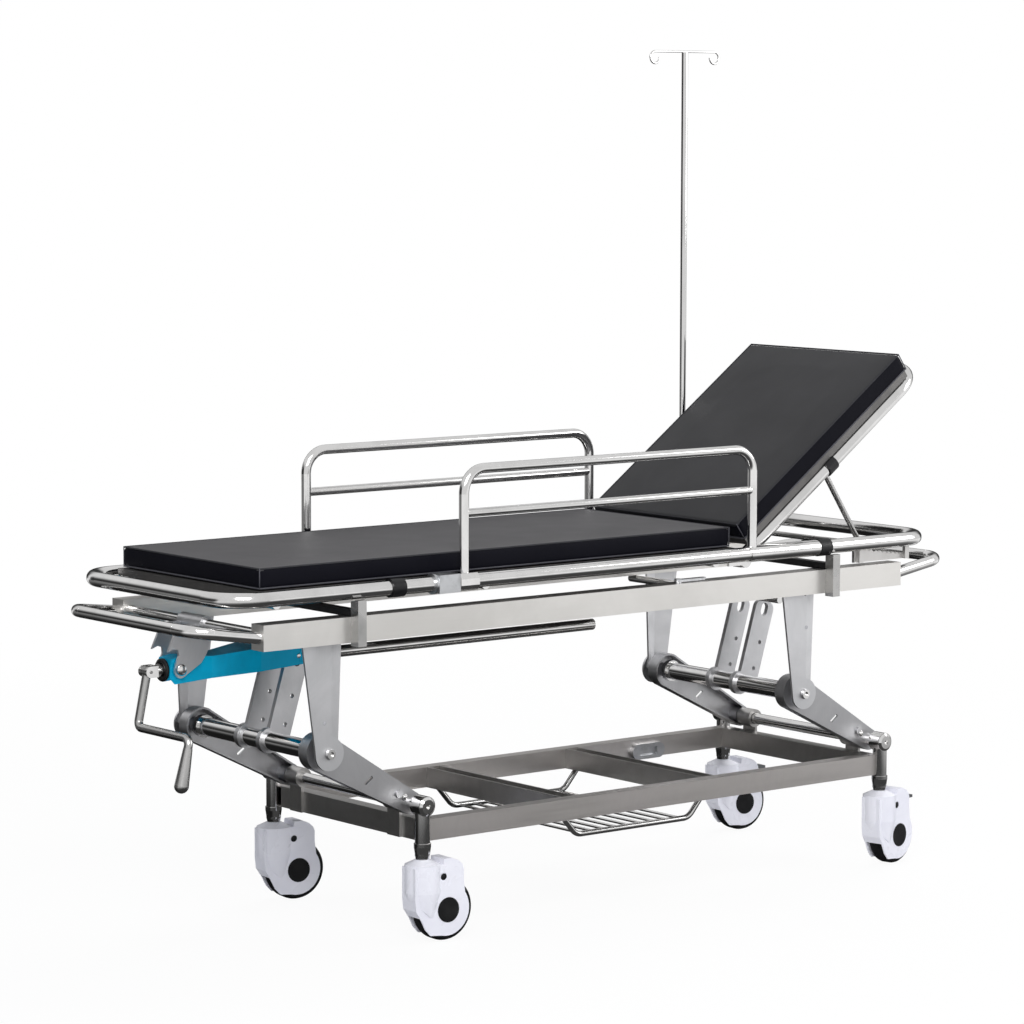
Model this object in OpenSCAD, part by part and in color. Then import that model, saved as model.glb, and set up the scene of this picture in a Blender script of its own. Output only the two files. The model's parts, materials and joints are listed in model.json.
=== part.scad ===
// Height-adjustable patient trolley with a lift-off stretcher.
// X runs along the trolley with the head end at +X, Z is up, and the floor is z = 0.
// The origin is on the floor, under the middle of the whole trolley.

/* [Chassis] */
// Length of the two chassis rails
chassis_len = 1670; // [1500:10:1800]
// Width over the outer faces of the chassis rails
chassis_w = 524; // [480:2:600]
// Height of the top of the chassis rails above the floor
rail_top = 658; // [650:1:700]
// Width of a chassis rail
rail_w = 40; // [30:1:50]
// Depth of a chassis rail
rail_h = 50; // [40:1:60]
// Wall of the rectangular tubes
rail_wall = 2.5; // [1.5:0.5:3]
// Reach of the foot bumper past the chassis rails
foot_reach = 146; // [120:1:170]
// Reach of the head bumper past the chassis rails
head_reach = 190; // [160:1:220]
// Diameter of the bumper tubes
bumper_d = 24; // [20:1:30]
// Rise of the bumpers from the rails to their ends
bumper_rise = 18; // [0:1:26]
// Distance of the litter cradles from the middle of the chassis
cradle_x = 622; // [600:1:660]

/* [Lift] */
// Distance between the foot and head elbows
elbow_pitch = 1241; // [1150:1:1300]
// Place of the foot elbow from the middle of the chassis
elbow_x = -670; // [-700:1:-640]
// Height of the elbows as shown
elbow_z = 394; // [380:1:410]
// Length of the lower arms between pivots
arm_len = 249; // [230:1:270]
// Height of the lower pivots above the floor
pivot_z = 271; // [260:1:280]
// Diameter of the tube across the elbows
elbow_tube_d = 37; // [30:1:40]
// Half distance between the two lever bars
lever_y = 38; // [30:1:50]
// Length of the lever bars
lever_len = 186; // [160:1:190]
// Lean of the lever bars from upright
lever_lean = 17; // [10:1:22]

/* [Base] */
// Width over the centres of the castor stems
stem_gauge = 506; // [460:2:560]
// Height of the top of the base rails
base_top = 242; // [230:1:250]
// Depth of the base rails
base_h = 43; // [36:1:50]
// Width of the base rails
base_w = 30; // [25:1:40]
// Diameter of the castor stems
stem_d = 30; // [26:1:34]

/* [Castors] */
// Diameter of the wheels
wheel_d = 125; // [115:1:130]
// Width of the tyres
wheel_w = 34; // [28:1:38]
// Trail of the wheels behind their stems
trail = 46; // [38:1:50]

/* [Litter] */
// Distance of the foot tube of the litter from the middle of the chassis
litter_foot = 912; // [880:1:930]
// Distance of the head tube of the litter from the middle of the chassis
litter_head = 920; // [900:1:950]
// Width over the centres of the litter tubes
litter_w = 529; // [500:1:600]
// Height of the centre of the litter tubes
litter_z = 707; // [700:1:730]
// Diameter of the litter tubes
litter_d = 30; // [26:1:32]
// Wall of the round tubes
tube_wall = 2; // [1.5:0.5:3]

/* [Mattress] */
// Width of the mattress
pad_w = 476; // [440:2:480]
// Thickness of the mattress
pad_t = 45; // [35:1:60]
// Height of the top of the seat pad
pad_top = 765; // [760:1:780]
// Length of the backrest pad
back_len = 580; // [520:5:590]
// Angle of the backrest as shown
back_angle = 36; // [20:1:45]

/* [Guard rails] */
// Height of the top tube of a guard rail
guard_top = 926; // [880:1:960]
// Height of the middle bar of a guard rail
guard_mid = 840; // [800:1:860]
// Place of the foot post of a guard rail from the middle of the chassis
guard_foot = -360; // [-400:1:-340]
// Place of the head post of a guard rail from the middle of the chassis
guard_head = 399; // [380:1:420]
// Diameter of the guard rail tube
guard_d = 20; // [16:1:22]

/* [Infusion pole] */
// Height of the top of the pole
pole_top = 1757; // [1500:1:1850]
// Place of the pole from the middle of the chassis
pole_x = 690; // [680:1:700]
// Diameter of the pole
pole_d = 14; // [12:1:16]

/* [Hidden] */
$fn = 64;
steel = [0.78, 0.78, 0.79];
bright = [0.86, 0.86, 0.87];
cast_metal = [0.62, 0.64, 0.67];
black = [0.05, 0.05, 0.06];
pad_color = [0.12, 0.12, 0.13];
shroud_color = [0.9, 0.9, 0.95];
drive_color = [0, 0.5, 0.65];

// Running clearance of every turning fit, and the gap left beside moving faces
fit = 0.06;
gap = 0.5;
cut = 1;

// Crank: it or the foot bumper reaches furthest, and sets the origin with the head bumper
crank_rod_d = 17;
crank_lean = 12;
crank_drop = 108;
crank_arm = 178;
crank_grip = 90;
crank_grip_d = 28;
crank_bend = 14;
crank_pin_d = 6;
hinge_reach = 32;
nose_reach = hinge_reach + 21;
knuckle_reach = nose_reach + 37;
crank_reach = knuckle_reach + (crank_drop + crank_grip) * sin(crank_lean) + crank_grip_d / 2;

// Chassis
chassis_x = (max(crank_reach, foot_reach) - head_reach) / 2;
rail_y = chassis_w / 2 - rail_w / 2;
rail_mid = rail_top - rail_h / 2;
rail_low = rail_top - rail_h;
half_len = chassis_len / 2;
end_cap_t = 2;
cross_tube_d = 18;
brace_d = 16;
bumper_bend = 60;
foot_end = chassis_x - half_len;
head_end = chassis_x + half_len;

// Lift linkage: two equal arms on equal spacings above and below
arm_rise = asin((elbow_z - pivot_z) / arm_len);
foot_elbow = chassis_x + elbow_x;
head_elbow = foot_elbow + elbow_pitch;
foot_pivot = foot_elbow + arm_len * cos(arm_rise);
head_pivot = head_elbow + arm_len * cos(arm_rise);
leg_t = 5;
leg_y = chassis_w / 2 - 17;
bevel_depth = 16;
arm_deep = 28;
arm_y = leg_y - bevel_depth - leg_t - 4;
arm_wide = 74;
arm_narrow = 46;
arm_wall = 4;
elbow_pin_d = 16;
bolt_d = 22;
bolt_h = 6;
bolt_socket = 10;
pivot_shaft_d = 24;
pivot_slack = 1;
collar_d = 46;
collar_w = 12;
lever_hub_d = elbow_tube_d + 13;
lever_w = 52;
lever_t = 10;
lever_offset = 20;
lever_round = 16;
lever_pin_z = lever_len - 18;
trunnion_d = 12;
slot_along = 8;
slot_across = 3.5;
lever_slot_w = trunnion_d + 2 * slot_across;
leg_left_top = 63;
leg_right_top = 39;
leg_right_low = 27;
leg_round = 33;

// Base
stem_y = stem_gauge / 2;
sleeve_d = 40;
sleeve_w = 30;
cap_t = 4;
ferrule_d = 34;
ferrule_h = 24;
stem_low = 165.5;
channel_w = 35;
channel_wall = 3;
channel_foot = -62;
channel_head = 318;
channel_foot_x = chassis_x + channel_foot;
channel_head_x = chassis_x + channel_head;
keeper_place = 532;
block_y = 166;
block_w = 40;
basket_y = 205;
basket_d = 12;
basket_wire_d = 6;
basket_bend = 30;
basket_slope = 38;
basket_drop = 43;
basket_count = 9;

// Castors
wheel_r = wheel_d / 2;
shroud_w = wheel_w + 12;
shroud_cap_r = 35.5;
shroud_rim = 155;
shroud_top = 165;
shroud_arc = wheel_r - 10;
wheel_gap = 2.5;
hub_r = 25;
swivel_pin_d = 18;
castor_turn = [-3, -9, 12, -5];
pedal_x = trail + 20;
pedal_z = 143;
pedal_w = 24;
pedal_boss_d = 14;
pedal_pin_d = 8;

// Litter
litter_y = litter_w / 2;
litter_bend = 80;
litter_low = litter_z - litter_d / 2;
foot_tube_x = chassis_x - litter_foot;
head_tube_x = chassis_x + litter_head;
deck_t = 14;
deck_top = pad_top - pad_t - gap;
cradle_w = 20;
cradle_out = 24;
cradle_beam_t = 14;
foot_bar = -802;
middle_bar = -300;

// Mattress and backrest
seat_foot = -828;
hinge_place = 400;
hinge_drop = 17;
seat_foot_x = chassis_x + seat_foot;
hinge_x = chassis_x + hinge_place;
hinge_z = litter_z - hinge_drop;
pad_above_hinge = pad_top - hinge_z;
seat_head_x = hinge_x - 35;
hinge_tube_d = 20;
hinge_sleeve_w = 29;
lug_t = 7;
cross_bar_d = 20;
back_tube_d = 28;
back_tube_y = 225;
back_pad_start = 28;
back_reach = back_pad_start + back_len + 32;
back_deck_t = 15;
back_bend = 70;

// Backrest prop
prop_at = 313;
prop_len = 216;
prop_d = 14;
prop_y = 199;
prop_pin_d = 10;
prop_foot_drop = 8;
prop_rest_z = 695;
prop_flat_angle = asin(prop_foot_drop / prop_len);
prop_top_rest = hinge_z + prop_at * sin(back_angle);
prop_rest_angle = asin((prop_top_rest - prop_rest_z) / prop_len);
prop_rod_d = 12;
prop_rod_y = 247;
rack_y = 241;
rack_t = 7;
rack_low = rail_top + 6;

// Guard rails and pole
pole_out = 24;
collar_foot = -512;
collar_head = 583;
latch_place = -434;
sleeve_foot = chassis_x + collar_foot;
sleeve_head = chassis_x + collar_head;
latch_x = chassis_x + latch_place;
guard_sleeve_d = litter_d + 4;
guard_bend = 48;
guard_block_r = 21;
latch_len = 52;
side_collar_w = 31;
side_collar_d = litter_d + 7;

// Height drive
pin_reach = [lever_offset * cos(lever_lean) + lever_pin_z * sin(lever_lean),
    lever_pin_z * cos(lever_lean) - lever_offset * sin(lever_lean)];
nut_x = foot_elbow + pin_reach[0];
drive_z = elbow_z + pin_reach[1];
drive_hinge_x = foot_end - hinge_reach;
drive_nose = foot_end - nose_reach;
drive_end = nut_x + 68;
drive_half = 25;
drive_rear_half = 48;
drive_wall = 3;
drive_pin_d = 12;
screw_d = 14;
screw_tube_d = 24;
screw_end = chassis_x + 188;
nut_len = 24;
nut_d = 34;
crank_knuckle = foot_end - knuckle_reach;
cross_tube_x = foot_end + 20;
brace_x = head_elbow - 70;

// ---- shared shapes ----

// A box tube along X, centred on y and z
module box_tube_x(length, wide, high, wall) {
    difference() {
        translate([-length / 2, -wide / 2, -high / 2]) cube([length, wide, high]);
        translate([-length / 2 - cut, -wide / 2 + wall, -high / 2 + wall])
            cube([length + 2 * cut, wide - 2 * wall, high - 2 * wall]);
    }
}

// A rod along Y, centred
module rod_y(d, length) {
    rotate([90, 0, 0]) cylinder(d = d, h = length, center = true);
}

// A plate of a given thickness from an outline drawn in X and Z
module plate_y(thick) {
    rotate([90, 0, 0]) linear_extrude(height = thick, center = true) children();
}

function arc(c, r, from, to) = [for (i = [0 : 8]) let (a = from + (to - from) * i / 8)
    [c[0] + r * cos(a), c[1] + r * sin(a)]];

// A rectangle with rounded corners, with one radius for the lower pair and one for the upper
module soft_outline(left, right, low, high, low_r, high_r) {
    polygon(concat(
        arc([left + low_r, low + low_r], low_r, 180, 270), arc([right - low_r, low + low_r], low_r, 270, 360),
        arc([right - high_r, high - high_r], high_r, 0, 90), arc([left + high_r, high - high_r], high_r, 90, 180)));
}

// A rod between two points
module rod_between(a, b, d) {
    v = b - a;
    translate(a)
        rotate([0, acos(v[2] / norm(v)), atan2(v[1], v[0])])
            cylinder(d = d, h = norm(v));
}

function heading(a, b) = atan2(b[1] - a[1], b[0] - a[0]);
function wrap(angle) = angle > 180 ? angle - 360 : angle <= -180 ? angle + 360 : angle;
function step(p, angle, length) = [p[0] + length * cos(angle), p[1] + length * sin(angle)];

// A solid round bar bent in the XY plane along corner points, with one bend radius
module bent_bar(points, bend, d, overrun) {
    last = len(points) - 1;
    turns = [for (i = [0 : last])
        i == 0 || i == last ? 0
        : wrap(heading(points[i], points[i + 1]) - heading(points[i - 1], points[i]))];
    setback = [for (t = turns) bend * tan(abs(t) / 2)];
    for (i = [0 : last - 1]) {
        angle = heading(points[i], points[i + 1]);
        lead = i == 0 ? -overrun : setback[i];
        tail = i == last - 1 ? -overrun : setback[i + 1];
        start = step(points[i], angle, lead);
        length = norm(points[i + 1] - points[i]) - lead - tail;
        translate([start[0], start[1], 0]) rotate([0, 0, angle]) rotate([0, 90, 0])
            cylinder(d = d, h = length);
    }
    for (i = [1 : last - 1]) {
        angle = heading(points[i - 1], points[i]);
        side = turns[i] > 0 ? 1 : -1;
        entry = step(points[i], angle, -setback[i]);
        centre = step(entry, angle + 90 * side, bend);
        from = angle - 90 * side + (side > 0 ? 0 : turns[i]);
        translate([centre[0], centre[1], 0]) rotate([0, 0, from])
            rotate_extrude(angle = abs(turns[i])) translate([bend, 0]) circle(d = d);
        if (abs(turns[i]) != 90) {
            seam(entry, angle, d);
            seam(step(points[i], angle + turns[i], setback[i]), angle + turns[i], d);
        }
    }
}

// A faint band that covers the seam where a straight stretch meets a bend
module seam(p, angle, d) {
    translate([p[0], p[1], 0]) rotate([0, 0, angle]) rotate([0, 90, 0])
        cylinder(d = d + 0.2, h = 3, center = true);
}

// The same, as a tube
module bent_tube(points, bend, d, wall) {
    difference() {
        bent_bar(points, bend, d, 0);
        bent_bar(points, bend, d - 2 * wall, cut);
    }
}

// ---- base ----

module base_side_rails() {
    color(steel) for (side = [-1, 1])
        difference() {
            translate([(foot_pivot + head_pivot) / 2, side * (stem_y - base_w / 2), base_top - base_h / 2])
                box_tube_x(head_pivot - foot_pivot, base_w, base_h, rail_wall);
            for (x = [foot_pivot, head_pivot])
                translate([x, side * stem_y, 0]) cylinder(d = stem_d, h = base_top + cut);
        }
}

module base_end_rails() {
    inner = 2 * (stem_y - base_w);
    color(steel) for (end = [0, 1]) {
        x = end == 0 ? foot_pivot + base_w / 2 : head_pivot - base_w / 2;
        translate([x, 0, base_top - base_h / 2]) rotate([0, 0, 90])
            box_tube_x(inner, base_w, base_h, rail_wall);
    }
}

module base_channels() {
    inner = 2 * (stem_y - base_w);
    color(steel) for (x = [channel_foot_x, channel_head_x])
        translate([x, 0, base_top - base_h]) difference() {
            translate([-channel_w / 2, -inner / 2, 0]) cube([channel_w, inner, base_h]);
            translate([-channel_w / 2 + channel_wall, -inner / 2 - cut, channel_wall])
                cube([channel_w - 2 * channel_wall, inner + 2 * cut, base_h]);
        }
}

// An upright castor stem with the pivot sleeve across its top and the ferrule at its foot
module castor_stem(x, side, bore_d) {
    difference() {
        union() {
            translate([x, side * stem_y, stem_low]) {
                translate([0, 0, 6]) cylinder(d = stem_d, h = pivot_z - stem_low - 6);
                cylinder(d1 = stem_d - 3, d2 = ferrule_d, h = ferrule_h);
                translate([0, 0, ferrule_h]) cylinder(d = ferrule_d, h = 7);
            }
            translate([x, side * stem_y, pivot_z]) rod_y(sleeve_d, sleeve_w);
        }
        translate([x, side * stem_y, pivot_z]) rod_y(bore_d, sleeve_w + 2 * cut);
        translate([x, side * stem_y, stem_low - cut])
            cylinder(d = swivel_pin_d + 2 * fit, h = 60 + fit + cut);
    }
}

module stems_foot() {
    color(bright) for (side = [-1, 1]) castor_stem(foot_pivot, side, pivot_shaft_d + 2 * fit);
}

module stems_head() {
    color(bright) for (side = [-1, 1])
        castor_stem(head_pivot, side, pivot_shaft_d + 2 * pivot_slack);
}

module bearing_blocks() {
    color(steel) for (side = [-1, 1]) {
        translate([0, side * block_y, 0]) block_at(foot_pivot, 1, pivot_shaft_d + 2 * fit);
        translate([0, side * block_y, 0]) block_at(head_pivot, -1, pivot_shaft_d + 2 * pivot_slack);
    }
}

// The pivot stands over the outer face of the end rail, so the block leans out over it
module block_at(x, inward, bore_d) {
    plate_t = 6;
    face = x - inward * plate_t / 2;
    difference() {
        union() {
            translate([face - plate_t / 2, -block_w / 2, base_top - base_h])
                cube([plate_t, block_w, pivot_z - base_top + base_h]);
            translate([x, 0, pivot_z]) rod_y(sleeve_d, block_w);
        }
        translate([x, 0, pivot_z]) rod_y(bore_d, block_w + 2 * cut);
    }
}

// One rail of the wire basket: a bar whose two ends turn up to the channels
module basket_side() {
    half = (channel_head_x - channel_foot_x) / 2;
    drop = basket_drop;
    rotate([90, 0, 0])
        bent_bar([[-half, 0], [-half + basket_slope, -drop], [half - basket_slope, -drop], [half, 0]],
            basket_bend, basket_d, basket_d);
}

module basket_frame() {
    middle = (channel_foot_x + channel_head_x) / 2;
    color(steel) for (side = [-1, 1])
        translate([middle, side * basket_y, base_top - base_h]) difference() {
            basket_side();
            translate([-chassis_len / 2, -basket_d, 0]) cube([chassis_len, 2 * basket_d, 3 * basket_d]);
        }
}

module basket_wires() {
    middle = (channel_foot_x + channel_head_x) / 2;
    span = channel_head_x - channel_foot_x - 2 * basket_slope - 2 * basket_bend * 0.6;
    z = base_top - base_h - basket_drop;
    color(steel) for (i = [0 : basket_count - 1])
        translate([middle - span / 2 + i * span / (basket_count - 1), 0, z])
            rod_y(basket_wire_d, 2 * basket_y - basket_d);
}

// An oval keeper with a slot, on the inner face of the right rail
module keeper_plate() {
    long = 92;
    tall = 34;
    thick = 10;
    color(cast_metal)
        translate([chassis_x + keeper_place, stem_y - base_w, base_top - base_h / 2 - 6]) rotate([90, 0, 0])
            difference() {
                union() {
                    translate([-(long - tall) / 2, -tall / 2, 0]) cube([long - tall, tall, thick]);
                    for (end = [-1, 1]) translate([end * (long - tall) / 2, 0, 0]) cylinder(d = tall, h = thick);
                }
                translate([-24, -9, 3]) cube([48, 18, thick]);
            }
}

// ---- castors ----

// The shroud seen from the side, with the stem at x = 0 and the wheel at x = trail
module shroud_outline() {
    centre = [trail - 3, wheel_r + 1];
    polygon(concat([[-shroud_cap_r + 3, shroud_rim - 4], [-shroud_cap_r + 3, 88], [-30, 66], [-18, 48], [-8, 28],
            [4, 15]],
        arc(centre, shroud_arc, 255, 330), arc(centre, shroud_arc, 337, 395),
        [[trail + 37, 120], [trail + 37, 142], [trail + 33, 151], [trail + 24, 159], [trail + 8, shroud_top],
            [shroud_cap_r + 1, shroud_top], [shroud_cap_r - 1, shroud_rim - 1], [0, shroud_rim - 1]]));
}

// Housing, with its swivel pin, as one moulding on the steel pin
module castor_housing_shape() {
    dot = [trail - 11, 130];
    difference() {
        union() {
            rotate([90, 0, 0]) linear_extrude(height = shroud_w, center = true) shroud_outline();
            difference() {
                union() {
                    translate([0, 0, 100]) cylinder(r = shroud_cap_r, h = shroud_rim - 100);
                    translate([0, 0, 52]) cylinder(r1 = 25, r2 = shroud_cap_r, h = 48);
                }
                translate([-shroud_cap_r, 0, 84]) rotate([0, 40, 0])
                    translate([-shroud_cap_r, -2 * shroud_cap_r, -80]) cube([5 * shroud_cap_r, 4 * shroud_cap_r, 80]);
            }
            translate([0, 0, shroud_rim]) cylinder(r1 = shroud_cap_r, r2 = 14, h = shroud_top - shroud_rim);
            cylinder(d = swivel_pin_d, h = stem_low + 60 - cut);
        }
        translate([trail, 0, wheel_r]) rod_y(2 * (wheel_r + wheel_gap), wheel_w + 2 * wheel_gap);
        translate([-20, -wheel_w / 2 - wheel_gap, -cut])
            cube([trail + 20 + 30, wheel_w + 2 * wheel_gap, wheel_r]);
        translate([trail, 0, wheel_r]) rod_y(2 * (hub_r + fit), shroud_w + 2 * cut);
        translate([trail + 16, -4, shroud_top - 16]) rotate([0, 30, 0]) cube([40, 8, 30]);
        for (side = [-1, 1]) translate([dot[0], side * (shroud_w / 2 - 0.5), dot[1]]) rod_y(15, 3);
    }
}

// Tyre, core and hub caps, which turn in the two side windows of the shroud
module castor_wheel_shape() {
    tread = 5;
    translate([trail, 0, wheel_r]) {
        difference() {
            rotate([90, 0, 0]) rotate_extrude() polygon([
                [0, -wheel_w / 2 + 3], [wheel_r - 18, -wheel_w / 2 + 3], [wheel_r - 16, -wheel_w / 2],
                [wheel_r - tread, -wheel_w / 2], [wheel_r - 1.5, -wheel_w / 2 + 4], [wheel_r, -wheel_w / 2 + 9],
                [wheel_r, wheel_w / 2 - 9], [wheel_r - 1.5, wheel_w / 2 - 4], [wheel_r - tread, wheel_w / 2],
                [wheel_r - 16, wheel_w / 2], [wheel_r - 18, wheel_w / 2 - 3], [0, wheel_w / 2 - 3]]);
        }
        rod_y(2 * hub_r, shroud_w + 2);
    }
}

// Stem place and swivel of castor number k: left foot, right foot, left head, right head
module at_castor(k) {
    x = k < 2 ? foot_pivot : head_pivot;
    side = k % 2 == 0 ? -1 : 1;
    translate([x, side * stem_y, 0]) rotate([0, 0, castor_turn[k]]) children();
}

module castor_housing(k) {
    color(shroud_color) at_castor(k)
        if (k < 2) castor_housing_shape();
        else difference() {
            castor_housing_shape();
            translate([pedal_x, 0, pedal_z]) rod_y(pedal_boss_d + 2 * gap, pedal_w + 2 * gap);
            translate([pedal_x, -pedal_w / 2 - gap, pedal_z - 14]) cube([60, pedal_w + 2 * gap, 40]);
            translate([pedal_x, 0, pedal_z]) rod_y(pedal_pin_d, shroud_w - 8);
        }
}

module castor_wheel(k) { color(black) at_castor(k) castor_wheel_shape(); }

// A foot pedal on a cross pin in the back of the shroud
module brake_pedal(k) {
    color(cast_metal) at_castor(k) translate([pedal_x, 0, pedal_z]) {
        rod_y(pedal_boss_d, pedal_w);
        rod_y(pedal_pin_d - 2 * fit, shroud_w - 8 - 2 * gap);
        rotate([90, 0, 0]) linear_extrude(height = pedal_w, center = true)
            polygon([[0, 8], [18, 6], [30, 0], [46, -2], [46, -8], [28, -8], [14, -2], [0, -4]]);
    }
}

module castor_housing_lf() { castor_housing(0); }
module castor_housing_rf() { castor_housing(1); }
module castor_housing_lh() { castor_housing(2); }
module castor_housing_rh() { castor_housing(3); }
module castor_wheel_lf() { castor_wheel(0); }
module castor_wheel_rf() { castor_wheel(1); }
module castor_wheel_lh() { castor_wheel(2); }
module castor_wheel_rh() { castor_wheel(3); }
module brake_pedal_left() { brake_pedal(2); }
module brake_pedal_right() { brake_pedal(3); }

// ---- lift linkage ----

// Pressed lower arm in its own frame: elbow at the origin, lower pivot at x = arm_len, web towards -Y
module arm_outline(inset) {
    step_in = 0.3;
    wide = arm_wide / 2 - inset - step_in;
    narrow = arm_narrow / 2 - inset - step_in;
    lean = asin((arm_wide - arm_narrow) / 2 / arm_len);
    circle(r = wide + step_in);
    translate([arm_len, 0]) circle(r = narrow + step_in);
    polygon([
        [wide * sin(lean), wide * cos(lean)], [arm_len + narrow * sin(lean), narrow * cos(lean)],
        [arm_len + narrow * sin(lean), -narrow * cos(lean)], [wide * sin(lean), -wide * cos(lean)]]);
}

module lower_arm() {
    difference() {
        union() {
            difference() {
                rotate([90, 0, 0]) linear_extrude(height = arm_deep) arm_outline(0);
                translate([0, cut, 0]) rotate([90, 0, 0])
                    linear_extrude(height = arm_deep - arm_wall + cut) arm_outline(arm_wall);
            }
            rotate([90, 0, 0]) cylinder(d = elbow_pin_d + 14, h = arm_deep);
            translate([arm_len, 0, 0]) rotate([90, 0, 0]) cylinder(d = pivot_shaft_d + 10, h = arm_deep);
            translate([arm_len - 40, -arm_deep, 3]) rod_y(16, 8);
        }
        translate([0, -arm_deep / 2, 0]) rod_y(elbow_pin_d, 2 * arm_deep);
        translate([arm_len, -arm_deep / 2, 0]) rod_y(pivot_shaft_d, 2 * arm_deep);
        translate([arm_len * 0.52, -arm_deep, -3]) rotate([0, 25, 0]) translate([-3, -cut, -11])
            cube([6, 3 * arm_wall, 22]);
    }
}

// Both lower arms of one end; the near one is mirrored across the trolley
module arm_pair(x) {
    color(cast_metal) for (side = [0, 1])
        mirror([0, side, 0]) translate([x, -(arm_y - arm_deep), elbow_z]) rotate([0, arm_rise, 0]) lower_arm();
}

module arms_foot() { arm_pair(foot_elbow); }
module arms_head() { arm_pair(head_elbow); }

// The shaft through both castor stems of one end, with a socket in each end cap
module pivot_shaft(x) {
    reach = stem_y + sleeve_w / 2 + gap;
    color(bright) translate([x, 0, pivot_z]) difference() {
        union() {
            rod_y(pivot_shaft_d, 2 * reach);
            for (side = [-1, 1]) translate([0, side * reach, 0]) rotate([side * -90, 0, 0])
                cylinder(d1 = sleeve_d - 2, d2 = sleeve_d - 12, h = cap_t);
        }
        for (side = [-1, 1]) translate([0, side * (reach + cap_t), 0]) rod_y(9, 12);
    }
}

module pivot_shaft_foot() { pivot_shaft(foot_pivot); }
module pivot_shaft_head() { pivot_shaft(head_pivot); }

// Tube between the arms with its collars, elbow pins and round bolt heads
module elbow_tube(x) {
    inner = arm_y - arm_deep;
    color(bright) translate([x, 0, elbow_z]) {
        rod_y(elbow_tube_d, 2 * inner);
        for (side = [-1, 1]) {
            translate([0, side * (inner + leg_y + gap) / 2, 0]) rod_y(elbow_pin_d, leg_y - inner + gap);
            translate([0, side * (inner - collar_w / 2), 0]) rod_y(collar_d, collar_w);
            translate([0, side * (leg_y + gap), 0]) rotate([side * -90, 0, 0]) difference() {
                cylinder(d1 = bolt_d, d2 = bolt_d - 3, h = bolt_h);
                translate([0, 0, 2]) cylinder(d = bolt_socket, h = bolt_h);
            }
        }
    }
}

module elbow_tube_foot() { elbow_tube(foot_elbow); }
module elbow_tube_head() { elbow_tube(head_elbow); }

// Two lever bars that stand on the elbow tube and lean towards the head end, with the nut's slots
module lever_pair(x) {
    color(cast_metal) for (side = [-1, 1]) translate([x, side * lever_y, elbow_z]) difference() {
        union() {
            rod_y(lever_hub_d, lever_t + 2);
            rotate([0, lever_lean, 0]) translate([lever_offset, 0, 0]) plate_y(lever_t)
                soft_outline(-lever_w / 2, lever_w / 2, 6, lever_len, 2, lever_round);
        }
        rod_y(elbow_tube_d, lever_t + 4 * cut);
        rotate([0, lever_lean, 0]) translate([lever_offset, 0, 0]) {
            plate_y(lever_t + 2 * cut)
                soft_outline(-lever_slot_w / 2, lever_slot_w / 2, lever_pin_z - slot_along - trunnion_d / 2,
                    lever_pin_z + slot_along + trunnion_d / 2, lever_slot_w / 2, lever_slot_w / 2);
            for (z = [38, 96]) translate([8, 0, z]) rod_y(9, lever_t + 2 * cut);
        }
    }
}

module levers_foot() { lever_pair(foot_elbow); }
module levers_head() { lever_pair(head_elbow); }

// ---- chassis ----

module chassis_rails() {
    color(steel) for (side = [-1, 1])
        translate([chassis_x, side * rail_y, rail_mid])
            box_tube_x(chassis_len - 2 * end_cap_t, rail_w, rail_h, rail_wall);
}

module rail_end_caps() {
    color(steel) for (side = [-1, 1], end = [-1, 1])
        translate([chassis_x + end * (half_len - end_cap_t / 2), side * rail_y, rail_mid])
            cube([end_cap_t, rail_w, rail_h], center = true);
}

// Pressed leg plate with a bevelled edge; the same pressing is turned round for the other side
module leg_plate(high) {
    plan = [[-leg_left_top, 0], [4, 0], [leg_right_top, bevel_depth], [leg_right_top, bevel_depth + leg_t],
        [2, leg_t], [-leg_left_top, leg_t]];
    side_view = [[-leg_left_top, high], [leg_right_top, high], [leg_right_low, 22],
        [leg_right_low + 4, 4], [0, 0], [-leg_round, 0], [-leg_round - 2, 16]];
    difference() {
        union() {
            intersection() {
                translate([0, 0, -cut]) linear_extrude(height = high + cut) polygon(plan);
                translate([0, 2 * bevel_depth, 0]) rotate([90, 0, 0])
                    linear_extrude(height = 4 * bevel_depth) polygon(side_view);
            }
            rotate([-90, 0, 0]) cylinder(r = leg_round, h = leg_t);
        }
        rod_y(elbow_pin_d + 2 * fit, 4 * leg_t);
    }
}

module leg_pair(x) {
    high = rail_low - elbow_z;
    color(cast_metal) for (turn = [0, 180])
        translate([x, 0, elbow_z]) rotate([0, 0, turn]) translate([0, -leg_y, 0]) leg_plate(high);
}

module leg_plates_foot() { leg_pair(foot_elbow); }
module leg_plates_head() { leg_pair(head_elbow); }

// Inner tube between the rails at the foot end, and the brace under the rails at the head end
module chassis_tubes() {
    color(bright) {
        translate([cross_tube_x, 0, rail_mid + 4]) rod_y(cross_tube_d, 2 * (rail_y - rail_w / 2));
        translate([brace_x, 0, rail_low - brace_d / 2]) rod_y(brace_d, 2 * rail_y);
    }
}

// A bumper hoop past one end of the rails, tilted up about the rail ends and cut flush to their caps
module bumper(end_x, way, reach) {
    run = reach - bumper_d / 2;
    shoulder = rail_y - 32;
    root = rail_y + 6;
    color(bright) difference() {
        translate([end_x, 0, rail_mid]) rotate([0, -way * asin(bumper_rise / run), 0])
            mirror([way > 0 ? 0 : 1, 0, 0])
                bent_tube([[-18, -root], [run, -shoulder], [run, shoulder], [-18, root]],
                    bumper_bend, bumper_d, tube_wall);
        translate([way > 0 ? end_x - 100 : end_x, -chassis_w, rail_low - 100])
            cube([100, 2 * chassis_w, 300]);
    }
}

module bumper_foot() { bumper(foot_end, -1, foot_reach); }
module bumper_head() { bumper(head_end, 1, head_reach); }

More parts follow.
